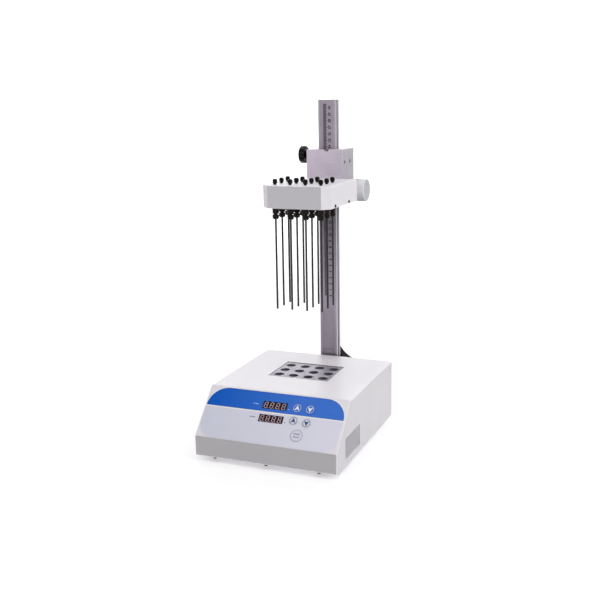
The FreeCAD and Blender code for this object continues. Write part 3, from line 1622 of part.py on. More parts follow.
def valve_knobs():
    """Twelve small black knobs, each with the stem that closes its port in the manifold."""
    high = "valve_knob_lift + valve_knob_height"
    wide, foot = number("valve_knob_radius"), number("valve_knob_lift")

    def on_rim(edge):
        return is_rim(edge) and abs(edge.Curve.Radius - wide) < 1e-6

    knobs = []
    for i, (x, y) in enumerate(GRID, 1):
        knobs.append(turned(f"valve_{i}", [
            ("0", "-valve_stem_in"),
            ("valve_stem_radius", "-valve_stem_in"),
            ("valve_stem_radius", "valve_neck_lift"),
            ("valve_neck_radius", "valve_neck_lift"),
            ("valve_neck_radius", "valve_knob_lift"),
            ("valve_knob_radius", "valve_knob_lift"),
            ("valve_knob_radius", high),
            ("0", high),
        ], (x, y, "chamber_top")))
    for i, knob in enumerate(knobs, 1):
        rounded(knob, f"valve_crown_{i}", "valve_knob_crown",
                lambda e: on_rim(e) and e.CenterOfMass.z > foot + wide)
    for i, knob in enumerate(knobs, 1):
        rounded(knob, f"valve_heel_{i}", "valve_knob_heel",
                lambda e: on_rim(e) and e.CenterOfMass.z < foot + 1e-6)
        node(f"valve_knob_{i:02d}", knob)


# Build every piece

base_shell()
lip_screws()
bottom_plate()
rear_panel()
rubber_feet()
vent_grilles()
panel_overlay()
display_modules()
keys()
key_switches()
control_board()
board_standoffs()
heater_block()
temperature_sensor()
heating_plate()
block_insulation()
power_supply()
mains_inlet()
power_switch()
power_rocker()
post()
scale_strip()
rack()
pinion()
post_bracket()
bracket_screws()
carriage_body()
carriage_cover()
carriage_screws()
guide_pads()
shaft_bushes()
pinion_shaft()
lift_knob()
lock_knob()
lock_stud()
chamber_cover()
chamber_floor()
chamber_screws()
manifold_gasket()
gas_manifold()
gas_inlet()
needle_fittings()
needle_nuts()
needles()
valve_knobs()
doc.recompute()

# Check everything before anything is written

faults = [o.Name for o in doc.Objects if {"Invalid", "Error"} & set(o.State)]
for label, thing in nodes.items():
    if thing.Shape.isNull() or not thing.Shape.isValid() or not thing.Shape.Solids:
        faults.append(label)
if faults:
    raise RuntimeError("not built: " + ", ".join(faults))

os.makedirs("parts", exist_ok=True)
for label, thing in nodes.items():
    thing.Shape.exportStep(os.path.join("parts", label + ".step"))
    box = thing.Shape.BoundBox
    print(f"{label}: {len(thing.Shape.Solids)} solids, {thing.Shape.Volume:.0f} mm3,"
          f" z {box.ZMin:.1f} to {box.ZMax:.1f}")
print(len(nodes), "nodes")
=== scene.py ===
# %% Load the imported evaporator
import math

import bmesh
import bpy
from mathutils import Matrix, Vector


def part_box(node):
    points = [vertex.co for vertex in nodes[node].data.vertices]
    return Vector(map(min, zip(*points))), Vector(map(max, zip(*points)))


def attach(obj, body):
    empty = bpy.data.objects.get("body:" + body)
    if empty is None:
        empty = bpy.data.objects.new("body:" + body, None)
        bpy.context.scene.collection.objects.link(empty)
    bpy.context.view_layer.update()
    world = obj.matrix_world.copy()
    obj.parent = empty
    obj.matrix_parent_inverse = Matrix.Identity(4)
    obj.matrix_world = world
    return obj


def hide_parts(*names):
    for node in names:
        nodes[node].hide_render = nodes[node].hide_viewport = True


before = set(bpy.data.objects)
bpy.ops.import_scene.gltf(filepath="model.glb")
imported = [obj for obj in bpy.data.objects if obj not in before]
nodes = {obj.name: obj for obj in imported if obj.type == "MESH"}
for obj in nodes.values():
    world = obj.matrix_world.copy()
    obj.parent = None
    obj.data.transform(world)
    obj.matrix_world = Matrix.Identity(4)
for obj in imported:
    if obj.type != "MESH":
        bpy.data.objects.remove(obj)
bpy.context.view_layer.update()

# %% [markdown]
# Everything here is in metres and in the frame of the construction model, so a piece is drawn where
# the model says it is. Sizes that a maker would give in millimetres go through `mm`. Places are read
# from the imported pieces, so that the looks follow the construction when a size changes.

# %% Lengths and corners
MM = 0.001
X, Y, Z = Vector((1, 0, 0)), Vector((0, 1, 0)), Vector((0, 0, 1))


def mm(value):
    return value * MM


def high(node):
    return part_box(node)[1]


def middle(node):
    lowest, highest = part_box(node)
    return (lowest + highest) / 2


def vertices(node):
    """A piece's vertices in the frame."""
    return [nodes[node].matrix_world @ v.co for v in nodes[node].data.vertices]


# %% [markdown]
# The camera stands where a photographer of bench gear would put it: in front, a little to the right
# and above the arm, with a lens of about 54 mm. Its distance, its two angles and a slight roll fix
# the whole picture, so it is placed by those and not by trial and error.

# %% Camera
CAMERA_TURN = math.radians(22.103)
CAMERA_RISE = math.radians(12.544)
CAMERA_ROLL = math.radians(-0.931)
CAMERA_DISTANCE = mm(1345.28)
CAMERA_ASIDE = mm(4.351)
CAMERA_ABOVE = mm(52.94)
AIM_ABOVE_CASE_FOOT = mm(157.14)
LENS_MM = 53.634


def show(name, data):
    """An object in the scene, from a mesh, a lamp or a camera."""
    thing = bpy.data.objects.new(name, data)
    bpy.context.scene.collection.objects.link(thing)
    return thing


def camera_axes(turn, rise, roll):
    """The camera's right, up and back directions."""
    back = Vector((math.sin(turn) * math.cos(rise), -math.cos(turn) * math.cos(rise), math.sin(rise)))
    right = Z.cross(back).normalized()
    up = back.cross(right)
    return (math.cos(roll) * right + math.sin(roll) * up,
            math.cos(roll) * up - math.sin(roll) * right, back)


case_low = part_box("base_shell")[0]
case_middle = middle("base_shell")
aim = Vector((case_middle.x, case_middle.y, case_low.z + AIM_ABOVE_CASE_FOOT))
right, up, back = camera_axes(CAMERA_TURN, CAMERA_RISE, CAMERA_ROLL)
eye = aim + right * CAMERA_ASIDE + up * CAMERA_ABOVE + back * CAMERA_DISTANCE
camera = show("camera", bpy.data.cameras.new("camera"))
camera.matrix_world = Matrix.Translation(eye) @ Matrix((right, up, back)).transposed().to_4x4()
camera.data.lens = LENS_MM
camera.data.sensor_width = 36
camera.data.clip_start = 0.05
bpy.context.scene.camera = camera
print("camera at mm", [round(v / MM, 1) for v in eye])

# %% [markdown]
# One small function adds a node to a material: its kind, its settings, the stops of a colour ramp, and
# for each input a value or what feeds it, which is an output or a whole node by its first output.
# Nodes could be placed by hand in the editor, but in code a whole material is read at a glance.
# Colours are written as sRGB hex, the way a paint chart gives them, and turned to linear values.

# %% Nodes and colours


def add(tree, kind, inputs=None, stops=(), **settings):
    """One node with its settings, its ramp stops, and each input set or linked."""
    node = tree.nodes.new(kind)
    for name, value in settings.items():
        setattr(node, name, value)
    for i, (place, colour) in enumerate(stops):
        stop = node.color_ramp.elements[i]
        stop.position, stop.color = place, colour
    for name, value in (inputs or {}).items():
        if isinstance(value, bpy.types.Node):
            value = value.outputs[0]
        if isinstance(value, bpy.types.NodeSocket):
            tree.links.new(value, node.inputs[name])
        else:
            node.inputs[name].default_value = value
    return node


def linear(hex_colour, alpha=1.0):
    """An sRGB hex colour as linear red, green, blue and alpha."""
    parts = [int(hex_colour[i:i + 2], 16) / 255 for i in (1, 3, 5)]
    return tuple(p / 12.92 if p <= 0.04045 else ((p + 0.055) / 1.055) ** 2.4 for p in parts) + (alpha,)


def grey(value):
    return (value, value, value, 1.0)


def new_finish(name):
    """An empty material, its node tree, and the object's own coordinates in metres."""
    finish = bpy.data.materials.new(name)
    finish.use_nodes = True
    tree = finish.node_tree
    tree.nodes.clear()
    return finish, tree, add(tree, "ShaderNodeTexCoord").outputs["Object"]


print("red paint in linear values:", [round(v, 3) for v in linear("#C02020")])

# %% [markdown]
# White gear on a white sweep is read by its tones: its front falls into grey while its top and its
# right side stay bright. A studio gets that with black cards beside the object, which would cut into
# the view from other sides. Here each finish carries painted shade instead, by the way that a face looks.

# %% Painted shade of the faces
TURNING, SQUARE_ON = 0.78, 0.95


def with_painted_face_shade(tree, colour, front=1.0, side=1.0, top=1.0, under=1.0):
    """Painted shade: the colour darker on front and back, sides, top or underside; slopes and bends keep it.
    """
    normal = add(tree, "ShaderNodeNewGeometry").outputs["Normal"]
    looks = add(tree, "ShaderNodeSeparateXYZ", {0: normal}).outputs
    sideways = add(tree, "ShaderNodeMath", {0: looks["X"]}, operation="ABSOLUTE")
    forward = add(tree, "ShaderNodeMath", {0: looks["Y"]}, operation="ABSOLUTE")
    down = add(tree, "ShaderNodeMath", {0: looks["Z"], 1: -1.0}, operation="MULTIPLY")
    for along, tone, start in ((sideways, side, TURNING), (forward, front, TURNING),
                               (looks["Z"], top, TURNING), (down, under, 0.0)):
        painted_shade_ramp = add(tree, "ShaderNodeValToRGB", {"Fac": along},
                     stops=((start, grey(1.0)), (SQUARE_ON, grey(tone))))
        colour = add(tree, "ShaderNodeVectorMath", {0: colour, 1: painted_shade_ramp}, operation="MULTIPLY")
    return colour


print("tones turn between", round(math.degrees(math.acos(TURNING))), "degrees off a face and square on")

# %% [markdown]
# The case and the gas chamber are sheet steel under white polyester powder coat. Powder melts into a
# film with a fine orange peel about a millimetre across, so the gloss is soft and broken. The peel is
# a shallow bump; the colour drifts by about one part in a hundred, as baked coats do. A picture of
# paint would repeat and have seams, so the peel is noise with its scale in real millimetres.

# %% Powder coats
DRIFT_MM, PATCH_MM, PEEL_DEPTH_MM = 60, 18, 0.02


def powder_coat(name, hex_light, hex_dark, roughness=0.42, peel_mm=1.3, shine=0.5, **tones):
    finish, tree, where = new_finish(name)
    peel = add(tree, "ShaderNodeTexNoise", {"Vector": where, "Scale": 1 / mm(peel_mm), "Detail": 2})
    clouds = add(tree, "ShaderNodeTexNoise", {"Vector": where, "Scale": 1 / mm(DRIFT_MM), "Detail": 3})
    patches = add(tree, "ShaderNodeTexNoise", {"Vector": where, "Scale": 1 / mm(PATCH_MM), "Detail": 4})
    drift = add(tree, "ShaderNodeValToRGB", {"Fac": clouds},
                stops=((0.3, linear(hex_dark)), (0.7, linear(hex_light))))
    gloss = add(tree, "ShaderNodeValToRGB", {"Fac": patches},
                stops=((0.0, grey(roughness - 0.04)), (1.0, grey(roughness + 0.05))))
    dimples = add(tree, "ShaderNodeBump", {"Height": peel, "Distance": mm(PEEL_DEPTH_MM), "Strength": 0.35})
    # The base colour carries painted shade, set by the way each face looks.
    shader = add(tree, "ShaderNodeBsdfPrincipled", {
        "Base Color": with_painted_face_shade(tree, drift, **tones), "Roughness": gloss, "Normal": dimples, "IOR": 1.5,
        "Specular IOR Level": shine, "Coat Weight": 0.3 * shine, "Coat Roughness": 0.25,
    })
    add(tree, "ShaderNodeOutputMaterial", {"Surface": shader})
    return finish


# The case is a cold white; the chamber is the same coat, with lighter painted shade on its faces.
white_coat = powder_coat("polyester powder coat, white", "#F9F5FB", "#F5F1F7", front=0.57, side=0.74)
chamber_coat = powder_coat("polyester powder coat, chamber white", "#F9F5FB", "#F5F1F7",
                           front=0.73, side=0.87)
# The vents are a shade greyer and duller, so that the slats read against the case.
vent_coat = powder_coat("polyester powder coat, slate grey", "#DCD8E0", "#D6D2DA", 0.5)
# The bracket's coat is textured: it hides the casting and reflects next to nothing.
bracket_coat = powder_coat("textured powder coat, black", "#09090A", "#050506", 0.5, 0.8, shine=0.04)
print("powder coats:", [m.name for m in (white_coat, chamber_coat, vent_coat, bracket_coat)])

# %% [markdown]
# Most of the arm is aluminium, and each piece shows how it was made. The post is an extrusion, with
# long faint die lines up its length. The carriage was brushed sideways and then anodised. They are the
# same metal with the default IOR; what changes is the direction and the depth of the fine grooves.
#
# Real grooves are finer than a tenth of a millimetre, which the picture can't show, so they are drawn
# about half a millimetre wide. Bright metal under the arm also mirrors the dark of what hangs above
# it. A mirror of the whole studio would be noisy, so painted shade darkens the colour near the arm.

# %% Drawn and brushed metal
CLOUD_MM, GROOVE_DEPTH_MM = 35, 0.006
UPWARD_LEAN = 1.2
NO_LINES = (1, 1, 1)
UP_LINES = (1, 1, 0.012)
CROSS_LINES = (0.02, 0.02, 1)
SHAFT_LINES = (0.02, 1, 1)
FILE_LINES = (1, 0.05, 1)
LATHE_LINES = (1, 1, 0.05)


def painted_shade_under_arm(tree, colour, near_mm):
    """Painted shade: the colour, darker where something hangs within near_mm above."""
    normal = add(tree, "ShaderNodeNewGeometry").outputs["Normal"]
    raised = add(tree, "ShaderNodeVectorMath", {0: normal, 1: Z * UPWARD_LEAN}, operation="ADD")
    upward = add(tree, "ShaderNodeVectorMath", {0: raised}, operation="NORMALIZE")
    openness = add(tree, "ShaderNodeAmbientOcclusion", {"Distance": mm(near_mm), "Normal": upward},
                   samples=12)
    painted_darkening = add(tree, "ShaderNodeValToRGB", {"Fac": openness.outputs["AO"]},
                   stops=((0.25, grey(0.3)), (0.72, grey(1.0))))
    return add(tree, "ShaderNodeVectorMath", {0: colour, 1: painted_darkening}, operation="MULTIPLY")


def brushed_metal(name, hex_light, hex_dark, stretch, roughness=0.36, line_mm=0.7, metallic=1.0,
                  near_mm=0, **tones):
    """Metal with grooves of about line_mm, drawn out along the axes whose stretch is small."""
    finish, tree, where = new_finish(name)
    drawn = add(tree, "ShaderNodeMapping", {"Vector": where, "Scale": stretch})
    lines = add(tree, "ShaderNodeTexNoise", {"Vector": drawn, "Scale": 1 / mm(line_mm), "Detail": 3})
    clouds = add(tree, "ShaderNodeTexNoise", {"Vector": where, "Scale": 1 / mm(CLOUD_MM), "Detail": 2})
    shade = add(tree, "ShaderNodeMath", {0: lines, 1: clouds}, operation="ADD")
    colour = add(tree, "ShaderNodeValToRGB", {"Fac": shade},
                 stops=((0.75, linear(hex_dark)), (1.0, linear(hex_light))))
    # Painted shade where the arm hangs close above.
    if near_mm:
        colour = painted_shade_under_arm(tree, colour, near_mm)
    gloss = add(tree, "ShaderNodeValToRGB", {"Fac": lines},
                stops=((0.3, grey(roughness - 0.07)), (0.7, grey(roughness + 0.1))))
    grooves = add(tree, "ShaderNodeBump", {"Height": lines, "Distance": mm(GROOVE_DEPTH_MM), "Strength": 0.6})
    # The base colour carries painted shade, set by the way each face looks.
    shader = add(tree, "ShaderNodeBsdfPrincipled", {
        "Base Color": with_painted_face_shade(tree, colour, **tones), "Metallic": metallic, "Roughness": gloss,
        "Normal": grooves,
    })
    add(tree, "ShaderNodeOutputMaterial", {"Surface": shader})
    return finish


# Anodised aluminium is a milky metal: its clear oxide scatters light, so it is half metallic.
# Painted shade darkens the post's sides, and under the arm the post and the scale strip.
post_metal = brushed_metal("extruded aluminium, clear anodised", "#C9C1CD", "#B7AFBC", UP_LINES,
                           metallic=0.5, near_mm=300, side=0.85)
# Painted shade darkens the carriage's sides.
carriage_metal = brushed_metal("brushed aluminium, clear anodised", "#F2E6F5", "#E4D8E8", CROSS_LINES,
                               metallic=0.4, side=0.48)
scale_metal = brushed_metal("satin aluminium strip", "#C2B8C7", "#B4AAB9", UP_LINES, 0.42, 0.5,
                            metallic=0.5, near_mm=300)
# Glass beads leave the knob matt and pale, without a direction. Painted shade darkens its sides
# and its underside.
knob_metal = brushed_metal("bead-blasted aluminium", "#F2F2F5", "#EAEAED", NO_LINES, 0.5, 0.35,
                           metallic=0.2, side=0.57, under=0.35)
# The plates inside keep the look of the mill, greyer than the anodised pieces.
plate_metal = brushed_metal("milled aluminium plate", "#C9C8CC", "#B9B8BC", CROSS_LINES, 0.4)
# Steels: ground shafts shine, cut teeth are duller, the needle tube's colour is set dark as painted
# shade, so that it reads dark against the white sweep, and black oxide swallows most of the light.
steel = brushed_metal("ground steel", "#B4B3B6", "#A2A1A4", SHAFT_LINES, 0.3, 0.5)
gear_steel = brushed_metal("cut gear steel", "#9D9CA0", "#8B8A8E", FILE_LINES, 0.38, 0.5)
needle_steel = brushed_metal("drawn stainless tube", "#39373B", "#2C2A2E", UP_LINES, 0.34, 0.4,
                             metallic=0.6)
dark_steel = brushed_metal("black-oxide steel", "#2C2B2D", "#1D1C1E", NO_LINES, 0.45, 0.6)
# Zinc plate has a spangle of some millimetres; the copper alloys are warm, and nickel is yellowish.
zinc = brushed_metal("zinc-plated sheet", "#C3C4C6", "#AFB1B5", NO_LINES, 0.45, 6)
bronze = brushed_metal("sintered bronze", "#B58A4C", "#96703B", NO_LINES, 0.5, 0.5)
nickel = brushed_metal("nickel-plated brass", "#D3CFC6", "#C2BEB4", FILE_LINES, 0.25, 0.5)
brass = brushed_metal("turned brass", "#C9A454", "#B28E42", LATHE_LINES, 0.3, 0.5)
print("drawn metals:", post_metal.name, "and 12 more")

# %% [markdown]
# The heater block was milled from a solid bar and left bare, so its top has the overlapping arcs of
# the face cutter. The arcs could be cut into the mesh, but they are a few microns deep: a ring wave
# drives the gloss and a slight bump, and a slow cloud stands for the handling of bare metal.

# %% Milled metal
CUTTER_FEED_MM, HANDLING_MM, RIDGE_MM = 18.0, 9, 0.01


def milled_metal(name, hex_light, hex_dark):
    finish, tree, where = new_finish(name)
    clouds = add(tree, "ShaderNodeTexNoise", {"Vector": where, "Scale": 1 / mm(HANDLING_MM), "Detail": 2})
    arcs = add(tree, "ShaderNodeTexWave", {
        "Vector": where, "Scale": 1 / mm(CUTTER_FEED_MM), "Distortion": 1.4, "Detail": 2.0,
        "Detail Scale": 3.0,
    }, wave_type="RINGS", rings_direction="Z").outputs["Fac"]
    colour = add(tree, "ShaderNodeValToRGB", {"Fac": clouds},
                 stops=((0.35, linear(hex_dark)), (0.65, linear(hex_light))))
    gloss = add(tree, "ShaderNodeValToRGB", {"Fac": arcs}, stops=((0.0, grey(0.42)), (1.0, grey(0.58))))
    ridges = add(tree, "ShaderNodeBump", {"Height": arcs, "Distance": mm(RIDGE_MM), "Strength": 0.3})
    shader = add(tree, "ShaderNodeBsdfPrincipled", {
        "Base Color": colour, "Metallic": 1.0, "Roughness": gloss, "Normal": ridges,
    })
    add(tree, "ShaderNodeOutputMaterial", {"Surface": shader})
    return finish


block_metal = milled_metal("milled aluminium, bare", "#BDBAC4", "#ABA8B2")
print("milled metal:", block_metal.name)

# %% [markdown]
# The plastics are moulded. Knobs, nuts and the mains inlet are black ABS or nylon, smooth from a
# polished or lightly sparked mould: the gloss is broken by a faint grain. Its real size is under a
# tenth of a millimetre, so it is drawn at half a millimetre to show. It could be sculpted, but noise
# in the gloss and in a shallow bump does as much. The feet and the gasket are rubber, which is rougher
# and never quite black.

# %% Plastics and rubber
FLOW_MM = 7


def moulded(name, hex_light, hex_dark, roughness=0.4, grain_mm=0.5, depth_mm=0.01, shine=0.5):
    finish, tree, where = new_finish(name)
    grain = add(tree, "ShaderNodeTexNoise", {"Vector": where, "Scale": 1 / mm(grain_mm), "Detail": 2})
    flow = add(tree, "ShaderNodeTexNoise", {"Vector": where, "Scale": 1 / mm(FLOW_MM), "Detail": 2})
    colour = add(tree, "ShaderNodeValToRGB", {"Fac": flow},
                 stops=((0.35, linear(hex_dark)), (0.65, linear(hex_light))))
    gloss = add(tree, "ShaderNodeValToRGB", {"Fac": grain},
                stops=((0.3, grey(roughness - 0.05)), (0.7, grey(roughness + 0.08))))
    sparks = add(tree, "ShaderNodeBump", {"Height": grain, "Distance": mm(depth_mm), "Strength": 0.4})
    shader = add(tree, "ShaderNodeBsdfPrincipled", {
        "Base Color": colour, "Roughness": gloss, "Normal": sparks, "IOR": 1.5, "Specular IOR Level": shine,
    })
    add(tree, "ShaderNodeOutputMaterial", {"Surface": shader})
    return finish


# Nylon from a polished mould is deep black with sharp small glints; the fittings' is a warm black.
black_knob = moulded("moulded nylon, black", "#0D0C0E", "#080709", 0.26, shine=0.2)
black_valve = moulded("moulded nylon, valve black", "#080709", "#050506", 0.14, shine=0.25)
black_fitting = moulded("moulded nylon, fitting black", "#1C0F0E", "#120A09", 0.16, shine=0.22)
# ABS of mains parts is a little greyer, and the rocker is polished.
black_inlet = moulded("moulded ABS, inlet black", "#161618", "#101012", 0.42, shine=0.3)
rocker_plastic = moulded("polished ABS, rocker black", "#111113", "#0C0C0E", 0.2, shine=0.35)
# Acetal is creamy, rubber matt, the board glassy and the insulation chalky.
pad_plastic = moulded("acetal, natural", "#EEECE4", "#E4E1D8", 0.38)
rubber = moulded("moulded rubber, black", "#262526", "#1C1B1C", 0.78, 0.8, 0.03)
board_plastic = moulded("glass-epoxy board, green", "#1C5A38", "#154A2D", 0.35)
fibre = moulded("pressed ceramic fibre", "#E6E0D2", "#D5CDBC", 0.95, 1.5, 0.3)
print("plastics:", [m.name for m in (black_knob, black_inlet, pad_plastic, rubber, fibre)])

# %% [markdown]
# The panel's prints, keys and digits all lie on the slope of the case. A maker draws them on a flat
# sheet, so they are given here in millimetres to the right of the middle, up the slope from the lip
# and out of the case. They could be placed by eye, but then they would not follow a change of the
# case, so the slope itself is read from the largest face of the panel's film.

# %% The slope of the panel
FILM_SKIN = 0.5
film_face = max(nodes["panel_overlay"].data.polygons, key=lambda face: face.area * (face.normal.z > 0))
slope_out = film_face.normal.copy()
slope_up = Vector((0, slope_out.z, -slope_out.y))
on_slope = nodes["panel_overlay"].matrix_world @ film_face.center - slope_out * mm(FILM_SKIN)
slope_low = on_slope - slope_up * (on_slope.y - case_low.y) / slope_up.y
slope_low.x = 0


def on_panel(u, v, out=0.0):
    """A point of the panel, given in mm to the right, up the slope and out of it."""
    return slope_low + X * mm(u) + slope_up * mm(v) + slope_out * mm(out)


def reach(points, direction):
    """How far points reach along a direction of the panel, lowest and highest, in mm."""
    values = [(p - slope_low).dot(direction) / MM for p in points]
    return min(values), max(values)


def panel_place(points):
    """The centre of some points on the panel, and how far they stand out of it, in mm."""
    return sum(reach(points, X)) / 2, sum(reach(points, slope_up)) / 2, reach(points, slope_out)[1]


film_right = reach(vertices("panel_overlay"), X)[1]
film_top = reach(vertices("panel_overlay"), slope_up)[1]
print("film reaches", round(film_right, 2), "mm aside and", round(film_top, 2), "mm up the slope")

# %% [markdown]
# The control panel is one polycarbonate film, printed on its back and stuck to the slope. It has a
# blue band above, edged by a thin white line, over a pale lavender field. The inks could be meshes on
# top, but a maker prints them, so the print is in the film's material: the distance of a point from
# the band's round-cornered outline says which ink it gets. The film's velvet grain is finer than a
# tenth of a millimetre, and is drawn at half a millimetre to show.

# %% Printed film
BAND_LOW, BAND_CORNER, WHITE_LINE, BLUE_EDGE = 51.0, 30.0, 1.9, 0.6
FADE_HALF, VELVET_MM, NAP_MM = 100, 0.5, 0.01


def printed_film():
    finish, tree, where = new_finish("printed polycarbonate film")
    offset = add(tree, "ShaderNodeVectorMath", {0: where, 1: slope_low}, operation="SUBTRACT")
    along = add(tree, "ShaderNodeVectorMath", {0: offset, 1: slope_up}, operation="DOT_PRODUCT")
    climb = along.outputs["Value"]
    across = add(tree, "ShaderNodeSeparateXYZ", {0: where}).outputs["X"]
    aside = add(tree, "ShaderNodeMath", {0: across}, operation="ABSOLUTE")
    arc_u, arc_v = mm(film_right - BAND_CORNER), mm(film_top - BAND_CORNER)
    past_side = add(tree, "ShaderNodeMath", {0: aside, 1: arc_u}, operation="SUBTRACT")
    past_top = add(tree, "ShaderNodeMath", {0: climb, 1: arc_v}, operation="SUBTRACT")
    past = add(tree, "ShaderNodeCombineXYZ", {"X": past_side, "Y": past_top})
    corner = add(tree, "ShaderNodeVectorMath", {0: past, 1: (0, 0, 0)}, operation="MAXIMUM")
    spread = add(tree, "ShaderNodeVectorMath", {0: corner}, operation="LENGTH").outputs["Value"]
    past_arc = add(tree, "ShaderNodeMath", {0: spread, 1: mm(BAND_CORNER)}, operation="SUBTRACT")
    below = add(tree, "ShaderNodeMath", {0: mm(BAND_LOW), 1: climb}, operation="SUBTRACT")
    outside = add(tree, "ShaderNodeMath", {0: past_arc, 1: below}, operation="MAXIMUM")
    # All three inks run darker towards the left end of the film.
    fade = add(tree, "ShaderNodeMapRange", {
        "Value": across, "From Min": mm(-FADE_HALF), "From Max": mm(FADE_HALF),
    })
    blue, edge, pale = (
        add(tree, "ShaderNodeValToRGB", {"Fac": fade}, stops=((0.0, linear(left)), (end, linear(right))))
        for left, right, end in (("#0061CF", "#437CE2", 0.7), ("#003F9E", "#2A5DBE", 0.7),
                                 ("#E2E3F2", "#F2F0FF", 1.0)))
    ink = blue.outputs["Color"]
    for distance, layer in ((-BLUE_EDGE, edge), (0.0, linear("#FFFFFF"))):
        reached = add(tree, "ShaderNodeMath", {0: outside, 1: mm(distance)}, operation="GREATER_THAN")
        ink = add(tree, "ShaderNodeMix", {0: reached, 6: ink, 7: layer}, data_type="RGBA").outputs[2]
    field = add(tree, "ShaderNodeMath", {0: climb, 1: mm(BAND_LOW - WHITE_LINE)}, operation="LESS_THAN")
    ink = add(tree, "ShaderNodeMix", {0: field, 6: ink, 7: pale}, data_type="RGBA").outputs[2]
    velvet = add(tree, "ShaderNodeTexNoise", {"Vector": where, "Scale": 1 / mm(VELVET_MM), "Detail": 2})
    gloss = add(tree, "ShaderNodeValToRGB", {"Fac": velvet}, stops=((0.0, grey(0.4)), (1.0, grey(0.52))))
    nap = add(tree, "ShaderNodeBump", {"Height": velvet, "Distance": mm(NAP_MM), "Strength": 0.2})
    shader = add(tree, "ShaderNodeBsdfPrincipled", {
        "Base Color": ink, "Roughness": gloss, "Normal": nap, "IOR": 1.45, "Specular IOR Level": 0.12,
    })
    add(tree, "ShaderNodeOutputMaterial", {"Surface": shader})
    return finish


film = printed_film()
print("blue band from", BAND_LOW, "to", round(film_top, 2), "mm up the slope")

# %% [markdown]
# Every carried-over piece of the construction now gets the finish of the real one, through its own
# material slots. It could be done piece by piece in the editor, but a table shows what is made of
# what: it names each finish once, and then the pieces that share it.

# %% Finishes of the construction pieces
BLUE_KEYS = ["upper_up_key", "upper_down_key"]
PALE_KEYS = ["lower_up_key", "lower_down_key", "start_key"]
# The keys wear the film's own print, and the windows are acrylic as dark as smoke.
key_blue = moulded("printed key, blue", "#2E72D9", "#2A6DD3", 0.42)
key_pale = moulded("printed key, pale", "#E9E8F6", "#E5E4F2", 0.42)
window = moulded("smoked acrylic window", "#0C0405", "#070203", 0.3, 3, 0.002, shine=0.08)
FINISHES = {
    white_coat: ["base_shell", "rear_panel"],
    chamber_coat: ["chamber_cover"],
    vent_coat: ["vent_grilles"],
    bracket_coat: ["post_bracket"],
    film: ["panel_overlay"],
    window: ["display_modules"],
    key_blue: BLUE_KEYS,
    key_pale: PALE_KEYS,
    block_metal: ["heater_block"],
    plate_metal: ["heating_plate", "chamber_floor", "gas_manifold", "power_supply"],
    post_metal: ["post"],
    scale_metal: ["scale_strip"],
    carriage_metal: ["carriage_body", "carriage_cover"],
    knob_metal: ["lift_knob"],
    gear_steel: ["rack", "pinion"],
    steel: ["pinion_shaft", "lock_stud", "temperature_sensor"],
    needle_steel: ["needles"],
    dark_steel: ["lip_screws", "bracket_screws", "carriage_screws", "chamber_screws"],
    zinc: ["bottom_plate"],
    bronze: ["shaft_bushes"],
    brass: ["board_standoffs"],
    nickel: ["gas_inlet"],
    black_knob: ["lock_knob"],
    black_valve: [f"valve_knob_{i:02d}" for i in range(1, 13)],
    black_fitting: ["needle_fittings", "needle_nuts"],
    black_inlet: ["mains_inlet", "power_switch", "key_switches"],
    rocker_plastic: ["power_rocker"],
    pad_plastic: ["guide_pads"],
    rubber: ["rubber_feet", "manifold_gasket"],
    board_plastic: ["control_board"],
    fibre: ["block_insulation"],
}
for finish, names in FINISHES.items():
    for name in names:
        for slot in nodes[name].material_slots:
            slot.material = finish
unfinished = set(nodes) - {name for names in FINISHES.values() for name in names}
print("pieces without a finish:", sorted(unfinished))

# %% [markdown]
# What the construction model leaves to this script is small: prints, digits, ruler lines, recesses.
# Many small solids of one ink become one piece, so they are collected first. A print could be a
# picture on a face, but a thin tablet of ink keeps a sharp edge from close by.

# %% Collecting small solids


def mount(piece, finish, body):
    """A finished piece that rides on a body."""
    piece.data.materials.append(finish)
    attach(piece, body)
    return piece


class Solids:
    """Collects closed solids as points in metres and faces, to make one piece of them."""

    def __init__(self):
        self.points, self.faces = [], []

    def prism(self, outline, rise):
        """A solid between an outline and the same outline moved by rise."""
        start, count = len(self.points), len(outline)
        self.points += list(outline) + [p + rise for p in outline]
        self.faces.append(tuple(start + i for i in reversed(range(count))))
        self.faces.append(tuple(start + count + i for i in range(count)))
        for i in range(count):
            j = (i + 1) % count
            self.faces.append((start + i, start + j, start + count + j, start + count + i))

    def tube(self, foot, height, outer, bore, sides):
        """An upright round tube with its bore, as four rings of points."""
        start = len(self.points)
        for radius, z in ((outer, height), (outer, 0), (bore, 0), (bore, height)):
            self.points += [foot + Vector((x, y, z)) for x, y in circle(radius, sides)]
        for ring in range(4):
            here, after = start + ring * sides, start + (ring + 1) % 4 * sides
            for i in range(sides):
                j = (i + 1) % sides
                self.faces.append((here + i, after + i, after + j, here + j))

    def piece(self, name, finish, body, cad_slot):
        mesh = bpy.data.meshes.new(name)
        mesh.from_pydata([tuple(p) for p in self.points], [], self.faces)
        mesh.update()
        return mount(show(name, mesh), finish, body)


def circle(radius, sides):
    """Points around the origin, counterclockwise from the right."""
    return [(radius * math.cos(2 * math.pi * i / sides), radius * math.sin(2 * math.pi * i / sides))
            for i in range(sides)]


def rectangle(left, right, low, high):
    """The corners of a rectangle, counterclockwise from below left."""
    return [(left, low), (right, low), (right, high), (left, high)]


print("a circle of 12 sides starts at", circle(1, 12)[0])

# %% [markdown]
# Each display module has four seven-segment digits. Unlit, the segments are a dusty pink grey on the
# dark window. A segment is a long hexagon, leaning a few degrees like the digits of such modules, and
# it is a thin raised tablet, so that it catches the light a little. A font could draw the digits,
# but then every segment would be lit or missing, and here all seven show faintly.

